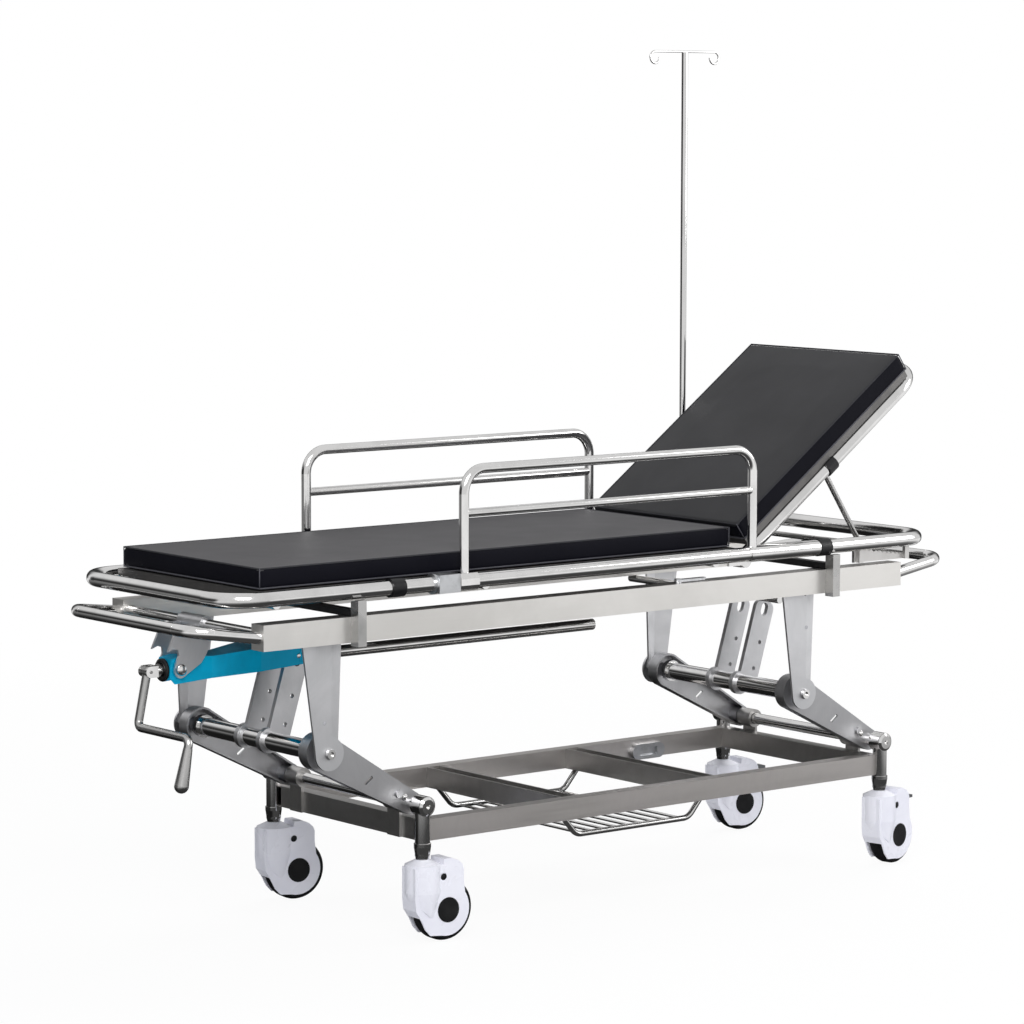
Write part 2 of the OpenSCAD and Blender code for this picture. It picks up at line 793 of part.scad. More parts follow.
// Each cradle has a beam that lies across the rails and a post with a saddle outside each of them
module cradle_beams() {
    color(black) for (end = [-1, 1])
        translate([chassis_x + end * cradle_x, 0, rail_top + cradle_beam_t / 2])
            cube([cradle_w, chassis_w, cradle_beam_t], center = true);
}

module cradle_posts() {
    low = rail_low - 6;
    color(bright) for (end = [-1, 1], side = [-1, 1]) difference() {
        translate([chassis_x + end * cradle_x - cradle_w / 2, side * (chassis_w + cradle_out) / 2 - cradle_out / 2, low])
            cube([cradle_w, cradle_out, litter_low - gap - low]);
        translate([chassis_x + end * cradle_x - cradle_w, side * litter_y, litter_z]) rotate([0, 90, 0])
            cylinder(d = side_collar_d + 2 * gap, h = 2 * cradle_w);
    }
}

// Two plates that hang from a sleeve on the inner tube and carry the height drive
module crank_bracket() {
    plate_t = 5;
    top = rail_mid + 4;
    hx = drive_hinge_x;
    hz = drive_z;
    color(steel) difference() {
        union() {
            for (side = [-1, 1]) translate([0, side * (drive_half + gap + plate_t / 2), 0]) {
                translate([hx, 0, hz]) rod_y(30, plate_t);
                plate_y(plate_t) polygon([[hx - 14.5, hz + 2], [hx - 12, hz + 14], [hx - 5, hz + 28], [hx - 6, hz + 40],
                    [hx - 17, hz + 43], [hx - 30, hz + 38], [hx - 14, hz + 72], [hx - 12, top], [hx + 70, top],
                    [hx + 67, hz + 51], [hx + 60, hz + 29], [hx + 47, hz + 11], [hx + 9, hz - 11.5], [hx, hz]]);
            }
            translate([cross_tube_x, 0, top]) rod_y(cross_tube_d + 12, 2 * (drive_half + gap + plate_t) + 20);
        }
        translate([cross_tube_x, 0, top]) rod_y(cross_tube_d, 4 * drive_half);
        translate([hx, 0, hz]) rod_y(drive_pin_d + 2 * fit, 4 * drive_half);
    }
}

// ---- height drive ----

// Side view and plan of the drive housing; inset moves every wall inwards
module housing_side(inset) {
    low_nose = drive_z - 27;
    low_rear = drive_z - 6;
    polygon([[drive_nose + inset, drive_z - 14], [drive_nose + 12 + inset, low_nose - (inset > 0 ? 60 : 0)],
        [drive_end + (inset > 0 ? cut : 0), low_rear - (inset > 0 ? 60 : 0)],
        [drive_end + (inset > 0 ? cut : 0), drive_z + 46 - inset],
        [drive_nose + 96, drive_z + 21 - inset], [drive_nose + 34, drive_z + 26 - inset],
        [drive_nose + 6 + inset, drive_z + 22 - inset], [drive_nose + inset, drive_z + 8]]);
}

module housing_plan(inset) {
    front = drive_half - 2 - inset;
    middle = drive_half - inset;
    rear = drive_rear_half - inset;
    flare = drive_nose + 96;
    polygon([[drive_nose, -front], [flare, -middle], [flare + 100, -rear], [drive_end + inset, -rear],
        [drive_end + inset, rear], [flare + 100, rear], [flare, middle], [drive_nose, front]]);
}

module housing_solid(inset) {
    intersection() {
        translate([0, drive_rear_half + 1, 0]) rotate([90, 0, 0])
            linear_extrude(height = 2 * drive_rear_half + 2) housing_side(inset);
        translate([0, 0, drive_z - 100]) linear_extrude(height = 200) housing_plan(inset);
    }
}

// Folded sheet housing, open below for the lever bars, with its hinge bolt and nose bearing
module screw_housing() {
    bearing_x = drive_nose + drive_wall;
    color(drive_color) difference() {
        union() {
            difference() {
                housing_solid(0);
                housing_solid(drive_wall);
            }
            translate([bearing_x, -drive_half + drive_wall, drive_z - 14]) cube([38, 2 * (drive_half - drive_wall), 28]);
            translate([drive_hinge_x, 0, drive_z])
                for (side = [-1, 1]) translate([0, side * (drive_half + 3), 0]) rod_y(drive_pin_d, 12);
            for (side = [-1, 1]) translate([drive_hinge_x, side * (drive_half + 8), drive_z]) rod_y(20, 4);
        }
        translate([drive_nose - cut, 0, drive_z]) rotate([0, 90, 0]) cylinder(d = screw_d + 2 * fit, h = 60);
    }
}

// Outer tube of the screw, held by a plug in the rear of the housing
module screw_tube() {
    color(bright) difference() {
        union() {
            translate([drive_end - 12, -drive_rear_half + drive_wall + gap, drive_z - 4])
                cube([12, 2 * (drive_rear_half - drive_wall - gap), 40]);
            translate([drive_end - 12, 0, drive_z]) rotate([0, 90, 0]) cylinder(d = screw_tube_d + 12, h = 26);
            translate([drive_end, 0, drive_z]) rotate([0, 90, 0])
                cylinder(d = screw_tube_d, h = screw_end - drive_end);
        }
        translate([drive_end - 12 - cut, 0, drive_z]) rotate([0, 90, 0])
            cylinder(d = screw_d + 2, h = screw_end - drive_end + 8);
    }
}

// Block nut with two trunnions that ride in the lever slots
module drive_nut() {
    color(steel) translate([nut_x, 0, drive_z]) difference() {
        union() {
            rotate([0, 90, 0]) cylinder(d = nut_d, h = nut_len, center = true);
            rod_y(trunnion_d, 2 * (lever_y + lever_t / 2 + 1));
            for (side = [-1, 1]) translate([0, side * (nut_d / 2 + 4), 0]) rod_y(trunnion_d + 8, 12);
        }
        rotate([0, 90, 0]) cylinder(d = screw_d + 2 * fit, h = nut_len + 2 * cut, center = true);
    }
}

// Screw, nose collar and fork of the folding crank
module crank_shaft() {
    slot_w = crank_rod_d + 1;
    fork_w = slot_w + 11;
    color(bright) difference() {
        union() {
            translate([crank_knuckle, 0, drive_z]) rotate([0, 90, 0])
                cylinder(d = screw_d, h = drive_end + 20 - crank_knuckle);
            translate([drive_nose - 12, 0, drive_z]) rotate([0, 90, 0]) cylinder(d = 26, h = 12 - gap);
            translate([crank_knuckle, 0, drive_z]) rod_y(22, fork_w);
            translate([crank_knuckle, -fork_w / 2, drive_z - 11]) cube([17, fork_w, 22]);
        }
        translate([crank_knuckle - 12, -slot_w / 2, drive_z - 24]) cube([24, slot_w, 48]);
        translate([crank_knuckle, 0, drive_z]) rod_y(crank_pin_d + 2 * fit, fork_w + 2 * cut);
    }
}

// Everything that swings about the knuckle, as it hangs; x runs down the rod
module at_knuckle() {
    translate([crank_knuckle, 0, drive_z]) rotate([0, 90 + crank_lean, 0]) children();
}

// Cranked rod: down from the knuckle, then sideways, then into the grip
module crank_handle() {
    end = crank_drop + crank_bend + 4;
    color(bright) at_knuckle() {
        bent_bar([[0, 0], [crank_drop, 0], [crank_drop, -crank_arm], [end, -crank_arm]],
            crank_bend, crank_rod_d, 0);
        rod_y(21, crank_rod_d);
        rod_y(crank_pin_d, crank_rod_d + 15);
    }
}

module crank_grip() {
    start = crank_drop + crank_bend + 4;
    end = crank_drop + crank_grip;
    color(steel) at_knuckle() translate([0, -crank_arm, 0]) {
        translate([start, 0, 0]) rotate([0, 90, 0])
            cylinder(d1 = crank_rod_d + 1, d2 = crank_grip_d, h = end - start);
        translate([end, 0, 0]) sphere(d = crank_grip_d);
    }
}

// ---- litter ----

module litter_frame() {
    bars = [chassis_x + foot_bar, chassis_x + middle_bar, seat_head_x - 60];
    color(bright) {
        translate([0, 0, litter_z])
            difference() {
                litter_loop(litter_d, 0);
                litter_loop(litter_d - 2 * tube_wall, cut);
            }
        for (x = bars) translate([x, 0, deck_top - deck_t - cross_bar_d / 2]) rod_y(cross_bar_d, litter_w - 12);
        translate([hinge_x, 0, hinge_z]) rod_y(hinge_tube_d, litter_w - guard_sleeve_d - 1.5);
        for (side = [-1, 1]) hinge_lug(side);
    }
}

module litter_loop(d, overrun) {
    middle = (foot_tube_x + head_tube_x) / 2;
    bent_bar([[middle, -litter_y], [head_tube_x, -litter_y], [head_tube_x, litter_y],
        [foot_tube_x, litter_y], [foot_tube_x, -litter_y], [middle, -litter_y]], litter_bend, d, overrun);
}

// Lug inside a side tube that holds the end of the backrest's hinge tube, clear of the guard's sleeve
module hinge_lug(side) {
    outer = litter_y - guard_sleeve_d / 2 - 0.5;
    y = side > 0 ? outer - lug_t : -outer;
    translate([hinge_x, side * (outer - lug_t / 2), hinge_z]) rod_y(hinge_tube_d + 8, lug_t);
    translate([hinge_x - 48, y, hinge_z - 8]) cube([48, lug_t, 20]);
    translate([hinge_x - 48, side > 0 ? y : y - 10, hinge_z + 2]) cube([26, lug_t + 10, 10]);
}

module litter_deck() {
    wide = 2 * (litter_y - guard_block_r - 2);
    long = seat_head_x - seat_foot_x + 12;
    color(black) translate([seat_foot_x - 6, -wide / 2, deck_top - deck_t]) difference() {
        cube([long, wide, deck_t]);
        translate([8, 8, -cut]) cube([long - 16, wide - 16, deck_t - 2]);
    }
}

module seat_pad() {
    color(pad_color) translate([seat_foot_x, -pad_w / 2, pad_top - pad_t])
        cube([seat_head_x - seat_foot_x, pad_w, pad_t]);
}

// A ring round a side tube of the litter
module side_ring(x, side, length, d) {
    translate([x, side * litter_y, litter_z]) rotate([0, 90, 0]) difference() {
        cylinder(d = d, h = length);
        translate([0, 0, -cut]) cylinder(d = litter_d, h = length + 2 * cut);
    }
}

module side_collars() {
    color(black) for (side = [-1, 1]) {
        side_ring(sleeve_foot - side_collar_w, side, side_collar_w, side_collar_d);
        side_ring(sleeve_head + gap, side, side_collar_w, side_collar_d);
    }
}

// Latch blocks clamped on the side tubes next to the guard rails' foot posts
module guard_latches() {
    color(cast_metal) for (side = [-1, 1]) {
        translate([latch_x, side * litter_y, litter_z]) difference() {
            translate([0, -19, -18]) cube([latch_len, 38, 36]);
            translate([-cut, 0, 0]) rotate([0, 90, 0]) cylinder(d = litter_d, h = latch_len + 2 * cut);
        }
        side_ring(latch_x - 6, side, 6, litter_d + 10);
    }
}

// Turn latch on the left chassis rail that holds the litter down
module litter_latch() {
    color(cast_metal) translate([chassis_x + 215, -rail_y, rail_top]) {
        cylinder(d = 16, h = 8);
        translate([0, -8, 2]) cube([66, 14, 5]);
        translate([66, -1, 2]) cylinder(d = 14, h = 5);
    }
}

// ---- guard rails ----

// Guard rail of one side: a block at the foot post, a sleeve at the head post, hoop and middle bar
module guard(side) {
    foot = chassis_x + guard_foot;
    head = chassis_x + guard_head;
    start = latch_x + latch_len + gap;
    end = sleeve_head - gap;
    color(bright) translate([0, side * litter_y, litter_z]) difference() {
        union() {
            intersection() {
                translate([start, -20, -17]) cube([46, 40, 34]);
                translate([start, 0, 0]) rotate([0, 90, 0]) cylinder(r = guard_block_r, h = 46);
            }
            translate([head - guard_d / 2 - 2, 0, 0]) rotate([0, 90, 0])
                cylinder(d = guard_sleeve_d, h = end - head + guard_d / 2 + 2);
            rotate([90, 0, 0])
                bent_bar([[foot, 0], [foot, guard_top - litter_z], [head, guard_top - litter_z], [head, 0]],
                    guard_bend, guard_d, 0);
            translate([foot, 0, guard_mid - litter_z]) rotate([0, 90, 0]) cylinder(d = guard_d - 3, h = head - foot);
        }
        translate([start - cut, 0, 0]) rotate([0, 90, 0])
            cylinder(d = litter_d + 2 * fit, h = end - start + 2 * cut);
    }
}

module guard_left() { guard(-1); }
module guard_right() { guard(1); }

// ---- backrest ----

// Backrest parts are drawn flat from the hinge and turned up to the shown angle
module at_backrest(angle = back_angle) {
    translate([hinge_x, 0, hinge_z]) rotate([0, -angle, 0]) children();
}

module backrest_frame() {
    color(bright) at_backrest() difference() {
        union() {
            difference() {
                bent_bar([[4, -back_tube_y], [back_reach, -back_tube_y], [back_reach, back_tube_y],
                    [4, back_tube_y]], back_bend, back_tube_d, 0);
                bent_bar([[16, -back_tube_y], [back_reach, -back_tube_y], [back_reach, back_tube_y],
                    [16, back_tube_y]], back_bend, back_tube_d - 2 * tube_wall, 0);
            }
            for (side = [-1, 1]) translate([0, side * back_tube_y, 0]) rod_y(back_tube_d + 2, hinge_sleeve_w);
            translate([prop_at - 28, 0, 0]) rod_y(cross_bar_d - 4, 2 * back_tube_y - 6);
        }
        rod_y(hinge_tube_d + 2 * fit, litter_w);
    }
}

module backrest_deck() {
    base = back_tube_d / 2 + gap;
    wide = pad_w - 14;
    top = pad_above_hinge - pad_t - gap;
    color(black) at_backrest() translate([back_pad_start + 6, -wide / 2, base]) difference() {
        cube([back_len - 12, wide, top - base]);
        translate([8, 8, -cut]) cube([back_len - 28, wide - 16, top - base - 2]);
    }
}

module backrest_pad() {
    color(pad_color) at_backrest() translate([back_pad_start, -pad_w / 2, pad_above_hinge - pad_t])
        cube([back_len, pad_w, pad_t]);
}

// Black collars on the backrest tubes with the pins of the prop
module prop_collars() {
    color(black) at_backrest() translate([prop_at, 0, 0]) for (side = [-1, 1]) difference() {
        union() {
            translate([-14, side * back_tube_y, 0]) rotate([0, 90, 0]) cylinder(d = back_tube_d + 7, h = 28);
            translate([0, side * (prop_y - 8 + back_tube_y) / 2, 0]) rod_y(prop_pin_d, back_tube_y - prop_y + 8);
        }
        translate([-15, side * back_tube_y, 0]) rotate([0, 90, 0]) cylinder(d = back_tube_d, h = 30);
        translate([-15, side * back_tube_y - back_tube_d, back_tube_d / 2 + gap / 2]) cube([30, 2 * back_tube_d, 10]);
    }
}

// Foot of the prop for a backrest angle, as [x, z]
function prop_lean(angle) = prop_flat_angle + (prop_rest_angle - prop_flat_angle) * angle / back_angle;
function prop_foot(angle) = [
    hinge_x + prop_at * cos(angle) + prop_len * cos(prop_lean(angle)),
    hinge_z + prop_at * sin(angle) - prop_len * sin(prop_lean(angle))];

// Bail with an eye at each top end and a cross rod at its foot
module backrest_prop() {
    top = [hinge_x + prop_at * cos(back_angle), prop_top_rest];
    color(bright) translate([top[0], 0, top[1]]) rotate([0, prop_rest_angle, 0]) {
        for (side = [-1, 1]) translate([0, side * prop_y, 0]) difference() {
            union() {
                rod_y(prop_pin_d + 8, prop_d - 2);
                rotate([0, 90, 0]) cylinder(d = prop_d - 2, h = prop_len);
            }
            rod_y(prop_pin_d + 2 * fit, prop_d);
        }
        translate([prop_len, 0, 0]) rod_y(prop_rod_d, 2 * prop_rod_y);
    }
}

// Toothed racks along the path of the prop's foot, hung from the side tubes
module prop_rack() {
    tip = prop_rod_d / 2 + 2;
    first = 22;
    last = back_angle + 7;
    count = 12;
    teeth = [for (i = [0 : 2 * count]) let (p = prop_foot(first + (last - first) * i / (2 * count)))
        [p[0], p[1] - tip - (i % 2) * 4]];
    right = teeth[0][0] + 6;
    left = teeth[2 * count][0] - 6;
    color(steel) for (side = [-1, 1]) difference() {
        union() {
            translate([0, side > 0 ? rack_y + rack_t : -rack_y, 0]) rotate([90, 0, 0])
                linear_extrude(height = rack_t)
                    polygon(concat([[right, rack_low], [right, teeth[0][1]]], teeth,
                        [[left, teeth[2 * count][1]], [left, rack_low]]));
            for (x = [left + 8, right - 20])
                translate([x, side > 0 ? rack_y + rack_t : -rack_y - rack_t - 8, rack_low])
                    cube([12, 8, litter_z - rack_low]);
        }
        translate([0, 0, litter_z]) litter_loop(litter_d, 0);
    }
}

// ---- infusion pole ----

module pole_socket() {
    color(cast_metal) difference() {
        translate([chassis_x + pole_x - 17, litter_y - 19, litter_z - 20]) cube([34, pole_out + 19 + 14, 40]);
        translate([chassis_x + pole_x - 18, litter_y, litter_z]) rotate([0, 90, 0]) cylinder(d = litter_d, h = 36);
        translate([chassis_x + pole_x, litter_y + pole_out, litter_z - 21]) cylinder(d = pole_d + 2 * fit, h = 42);
    }
}

module infusion_pole() {
    hook_r = 13;
    wire = 5;
    half = 100 - hook_r;
    color(bright) translate([chassis_x + pole_x, litter_y + pole_out, 0]) {
        translate([0, 0, litter_z - 60]) difference() {
            cylinder(d = pole_d, h = pole_top - litter_z + 60 - 4);
            translate([0, 0, -cut]) cylinder(d = pole_d - 2 * tube_wall, h = pole_top - litter_z + 40);
        }
        translate([-half, 0, pole_top - wire / 2]) rotate([0, 90, 0]) cylinder(d = wire, h = 2 * half);
        for (end = [-1, 1]) translate([end * half, 0, pole_top - wire / 2 - hook_r]) rotate([90, 0, 0])
            rotate([0, 0, end > 0 ? -180 : 90]) rotate_extrude(angle = 270) translate([hook_r, 0]) circle(d = wire);
    }
}

base_side_rails();
base_end_rails();
base_channels();
stems_foot();
stems_head();
bearing_blocks();
basket_frame();
basket_wires();
keeper_plate();
castor_housing_lf();
castor_housing_rf();
castor_housing_lh();
castor_housing_rh();
castor_wheel_lf();
castor_wheel_rf();
castor_wheel_lh();
castor_wheel_rh();
brake_pedal_left();
brake_pedal_right();
arms_foot();
pivot_shaft_foot();
elbow_tube_foot();
levers_foot();
arms_head();
pivot_shaft_head();
elbow_tube_head();
levers_head();
chassis_rails();
rail_end_caps();
leg_plates_foot();
leg_plates_head();
chassis_tubes();
bumper_foot();
bumper_head();
cradle_beams();
cradle_posts();
crank_bracket();
screw_housing();
screw_tube();
drive_nut();
crank_shaft();
crank_handle();
crank_grip();
litter_frame();
litter_deck();
seat_pad();
side_collars();
guard_latches();
litter_latch();
guard_left();
guard_right();
backrest_frame();
backrest_deck();
backrest_pad();
prop_collars();
backrest_prop();
prop_rack();
pole_socket();
infusion_pole();
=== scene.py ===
# %% [markdown]
# Patient transport trolley.
#
# A wheeled stainless base carries a parallelogram lift, a chassis and a lift-off litter with a
# mattress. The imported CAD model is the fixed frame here: every rigid part keeps its shape, and this
# script gives it a finish. The mattress is made new, because a plain block doesn't read as a cover
# stretched over foam.

# %% Load the frame
import json
import math

import bmesh
import bpy
from mathutils import Matrix, Vector
from mathutils.bvhtree import BVHTree


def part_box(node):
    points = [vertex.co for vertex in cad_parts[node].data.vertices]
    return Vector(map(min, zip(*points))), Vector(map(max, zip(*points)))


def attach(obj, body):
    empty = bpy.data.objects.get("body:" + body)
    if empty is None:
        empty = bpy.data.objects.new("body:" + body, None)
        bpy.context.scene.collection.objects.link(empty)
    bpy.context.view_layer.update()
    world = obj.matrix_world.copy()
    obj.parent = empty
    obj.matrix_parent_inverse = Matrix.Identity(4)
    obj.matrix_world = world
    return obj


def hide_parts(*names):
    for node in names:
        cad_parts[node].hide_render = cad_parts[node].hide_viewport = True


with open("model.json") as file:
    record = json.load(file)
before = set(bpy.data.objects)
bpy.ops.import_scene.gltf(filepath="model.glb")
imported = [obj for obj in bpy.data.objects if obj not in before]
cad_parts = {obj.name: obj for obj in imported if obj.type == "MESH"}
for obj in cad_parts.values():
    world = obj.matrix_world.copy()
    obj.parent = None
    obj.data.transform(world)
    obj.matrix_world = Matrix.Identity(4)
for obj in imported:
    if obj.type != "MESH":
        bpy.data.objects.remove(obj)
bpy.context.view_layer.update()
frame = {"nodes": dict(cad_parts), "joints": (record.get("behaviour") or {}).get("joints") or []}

nodes = frame["nodes"]
joints = {joint["name"]: joint for joint in frame["joints"]}


# %% [markdown]
# ## Camera
#
# The photograph is a long-lens product picture, taken from a little above the litter and well to the
# left of the foot end. The camera's numbers come from lines whose real directions are known: the
# rails and litter tubes run along X, the ends along Y, the stems and the pole along Z. Aim alone
# frames the trolley, so the lens needs no shift.

# %% Camera
rail_low, rail_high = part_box("chassis_rails")
chassis_mid = (rail_low.x + rail_high.x) / 2

photo_size = 1024
lens_mm = 132.4
sensor_mm = 36.0
camera_turn = math.radians(-38.66)
camera_tilt = math.radians(5.96)
camera_roll = math.radians(0.11)
camera_distance = 7.764
aim_before_middle = 0.0283
aim_height = 0.7997
aim = Vector((chassis_mid - aim_before_middle, 0.0, aim_height))

back = Vector((math.sin(camera_turn) * math.cos(camera_tilt),
               -math.cos(camera_turn) * math.cos(camera_tilt),
               math.sin(camera_tilt)))
level = Vector((math.cos(camera_turn), math.sin(camera_turn), 0.0))
upright = back.cross(level)
right = level * math.cos(camera_roll) + upright * math.sin(camera_roll)
up = upright * math.cos(camera_roll) - level * math.sin(camera_roll)
camera_axes = Matrix((right, up, back)).transposed().to_4x4()

camera_data = bpy.data.cameras.new("photo_camera")
camera_data.lens = lens_mm
camera_data.sensor_width = sensor_mm
camera_data.sensor_fit = "AUTO"
camera = bpy.data.objects.new("photo_camera", camera_data)
bpy.context.scene.collection.objects.link(camera)
camera.matrix_world = Matrix.Translation(aim + back * camera_distance) @ camera_axes
bpy.context.scene.camera = camera
bpy.context.scene.view_settings.view_transform = "Standard"
print("camera at", [round(value, 3) for value in camera.matrix_world.translation])


# %% [markdown]
# ## Floor and light
#
# The picture has a white background with hardly a shadow. The floor and the world are white to the
# camera, and soft lamps light the trolley itself, so that no colour is washed out. Polished steel is
# drawn by what it mirrors: the same white walls, and the floor as a glow, which carries a painted shadow
# under the trolley. Low down, in two places behind it, the walls are dark where a studio has its dark
# curtains, and the floor's glow carries painted shade there. That gives the tubes their lines.

# %% Floor
floor_half = 12.0
floor_mesh = bpy.data.meshes.new("studio_floor")
floor_bm = bmesh.new()
bmesh.ops.create_grid(floor_bm, x_segments=1, y_segments=1, size=floor_half)
floor_bm.to_mesh(floor_mesh)
floor_bm.free()
floor = bpy.data.objects.new("studio_floor", floor_mesh)
bpy.context.scene.collection.objects.link(floor)
print("floor m", [round(value, 1) for value in floor.dimensions])


# %% Lamps
def soft_lamp(name, spot, target, size, power, mirrored=True):
    """A square lamp that faces its target; the polished steel mirrors it or not."""
    data = bpy.data.lights.new(name, "AREA")
    data.shape = "SQUARE"
    data.size = size
    data.energy = power
    lamp = bpy.data.objects.new(name, data)
    lamp.location = spot
    lamp.rotation_euler = (Vector(target) - Vector(spot)).to_track_quat("-Z", "Y").to_euler()
    lamp.visible_glossy = mirrored
    bpy.context.scene.collection.objects.link(lamp)
    print(name, "watts", power)


soft_lamp("key_lamp", (-2.6, -3.4, 3.6), (0, 0, 0.6), size=2.4, power=150)
soft_lamp("side_lamp", (3.6, -2.2, 2.2), (0, 0, 0.6), size=2.0, power=50)
soft_lamp("back_lamp", (2.4, 1.2, 3.8), (0, 0, 0.7), size=2.6, power=90, mirrored=False)


# %% Node helpers
def add(tree, kind, links=(), **settings):
    """A node with some of its fixed inputs and settings, and its incoming links."""
    node = tree.nodes.new(kind)
    for label, value in settings.items():
        socket = label.replace("_", " ").title()
        if socket in node.inputs:
            node.inputs[socket].default_value = value
        else:
            setattr(node, label, value)
    for socket, source in links:
        tree.links.new(source, node.inputs[socket])
    return node


def ramp_node(tree, source, start, end, low=0.0, high=1.0):
    """A smooth step from low to high as the source runs from start to end."""
    return add(tree, "ShaderNodeMapRange", [("Value", source)], interpolation_type="SMOOTHSTEP",
               from_min=start, from_max=end, to_min=low, to_max=high).outputs["Result"]


def worked_out(tree, operation, first, second, **settings):
    """The sum, product or larger of two sources."""
    node = add(tree, "ShaderNodeMath", [(0, first), (1, second)], operation=operation, **settings)
    return node.outputs[0]


# %% Dark curtains
# Which way each curtain hangs, the cosines over which its sides fade, how high a direction points
# where its top fades, and how bright it stays
curtain_ways = [(0.62, 0.78, 0.0), (-0.78, 0.62, 0.0)]
curtain_fade = (0.7, 0.88)
curtain_top = (0.1, 0.6)
curtain_level = 0.05


def toward_curtain(tree, vector):
    """0 to 1: how far a direction points to one of the dark curtains, behind the head and foot ends."""
    flat = add(tree, "ShaderNodeVectorMath", [(0, vector)], operation="MULTIPLY")
    flat.inputs[1].default_value = (1, 1, 0)
    unit = add(tree, "ShaderNodeVectorMath", [(0, flat.outputs[0])], operation="NORMALIZE")
    facing = []
    for way in curtain_ways:
        cosine = add(tree, "ShaderNodeVectorMath", [(0, unit.outputs[0])], operation="DOT_PRODUCT")
        cosine.inputs[1].default_value = way
        facing.append(cosine.outputs["Value"])
    return ramp_node(tree, worked_out(tree, "MAXIMUM", *facing), *curtain_fade)


# %% World
world = bpy.data.worlds.new("studio")
world.use_nodes = True
bpy.context.scene.world = world
wt = world.node_tree
wt.nodes.clear()
rays = add(wt, "ShaderNodeLightPath").outputs
sky = add(wt, "ShaderNodeTexCoord").outputs["Generated"]
sky_height = add(wt, "ShaderNodeSeparateXYZ", [(0, sky)]).outputs["Z"]

# What the camera sees, what lights the trolley, and the room that the steel mirrors
white = add(wt, "ShaderNodeBackground", color=(1.0, 1.0, 1.0, 1.0), strength=1.0)
soft = add(wt, "ShaderNodeBackground", color=(0.92, 0.95, 1.0, 1.0), strength=0.35)
low_down = ramp_node(wt, sky_height, *curtain_top, 1.0, 0.0)
curtain = worked_out(wt, "MULTIPLY", low_down, toward_curtain(wt, sky))
room_level = ramp_node(wt, curtain, 0.0, 1.0, 1.0, curtain_level)
room = add(wt, "ShaderNodeBackground", [("Strength", room_level)])

seen = worked_out(wt, "MAXIMUM", rays["Is Camera Ray"], rays["Is Transmission Ray"])
lit = add(wt, "ShaderNodeMixShader",
          [(0, rays["Is Glossy Ray"]), (1, soft.outputs[0]), (2, room.outputs[0])])
studio = add(wt, "ShaderNodeMixShader", [(0, seen), (1, lit.outputs[0]), (2, white.outputs[0])])
add(wt, "ShaderNodeOutputWorld", [("Surface", studio.outputs[0])])
print("world nodes", len(wt.nodes))

# %% Floor material
# Distances from the trolley's middle, in metres, over which the floor turns white to the camera and
# bright to the steel, and how much of each it shows under the trolley; to the steel the floor is a glow,
# and its dimming under the trolley is a painted shadow
white_reach, white_under = (1.2, 4.0), 0.94
bright_reach, bright_under = (1.3, 3.6), 0.06
# How bright the floor's glow to the steel stays where it lies toward the dark curtains: painted shade
floor_by_curtain = 0.2

floor_paint = bpy.data.materials.new("studio_floor_paint")
floor_paint.use_nodes = True
floor_mesh.materials.append(floor_paint)
ft = floor_paint.node_tree
floor_shader = ft.nodes["Principled BSDF"]
floor_shader.inputs["Base Color"].default_value = (0.93, 0.93, 0.93, 1)
floor_shader.inputs["Roughness"].default_value = 0.9
rays = add(ft, "ShaderNodeLightPath").outputs
floor_spot = add(ft, "ShaderNodeTexCoord").outputs["Object"]
floor_reach = add(ft, "ShaderNodeVectorMath", [(0, floor_spot)], operation="LENGTH").outputs["Value"]

white_part = ramp_node(ft, floor_reach, *white_reach, white_under, 1.0)
white_share = worked_out(ft, "MULTIPLY", rays["Is Camera Ray"], white_part)
glow_share = worked_out(ft, "ADD", white_share, rays["Is Glossy Ray"], use_clamp=True)

# What the steel sees of the floor: a glow with a painted shadow under the trolley, and painted shade toward
# the curtains
painted_shadow_on_floor = ramp_node(ft, floor_reach, *bright_reach, bright_under, 1.0)
painted_curtain_shade = ramp_node(ft, toward_curtain(ft, floor_spot), 0.0, 1.0, 1.0, floor_by_curtain)
brightness = worked_out(ft, "MULTIPLY", painted_shadow_on_floor, painted_curtain_shade)
mirrored_level = worked_out(ft, "MULTIPLY", rays["Is Glossy Ray"], brightness)
glow_level = worked_out(ft, "ADD", rays["Is Camera Ray"], mirrored_level)
glow = add(ft, "ShaderNodeEmission", [("Strength", glow_level)], color=(1, 1, 1, 1))

floor_mix = add(ft, "ShaderNodeMixShader",
                [(0, glow_share), (1, floor_shader.outputs[0]), (2, glow.outputs[0])])
ft.links.new(floor_mix.outputs[0], ft.nodes["Material Output"].inputs["Surface"])
print("floor nodes", len(ft.nodes))


# %% [markdown]
# ## Finishes
#
# Surfaces of one trolley share a few effects: the lines that a belt leaves in stainless sheet, the
# faint smudges of handling, the pebbled grain of a coated cover, and the slight waviness of sprayed
# paint. Each is a node group, built once and placed in every material that needs it, with its own
# scale and strength.

# %% Node groups
def effect(name, numbers, outputs):
    """A shader group that takes a vector and named numbers; returns its tree, its input and its output."""
    tree = bpy.data.node_groups.new(name, "ShaderNodeTree")
    tree.interface.new_socket("Vector", in_out="INPUT", socket_type="NodeSocketVector")
    for label, value in numbers.items():
        socket = tree.interface.new_socket(label, in_out="INPUT", socket_type="NodeSocketFloat")
        socket.default_value = value
    for label in outputs:
        tree.interface.new_socket(label, in_out="OUTPUT", socket_type="NodeSocketFloat")
    return tree, tree.nodes.new("NodeGroupInput").outputs, tree.nodes.new("NodeGroupOutput")


# Belt lines: noise, to be stretched along the grain by the material
belt_lines, given, result = effect("belt_lines", {"Fineness": 1.0}, ["Lines"])
scaled = add(belt_lines, "ShaderNodeVectorMath", [(0, given["Vector"]), (3, given["Fineness"])],
             operation="SCALE")
lines = add(belt_lines, "ShaderNodeTexNoise", [("Vector", scaled.outputs[0])],
            scale=1.0, detail=3.0, roughness=0.6)
belt_lines.links.new(lines.outputs["Fac"], result.inputs["Lines"])

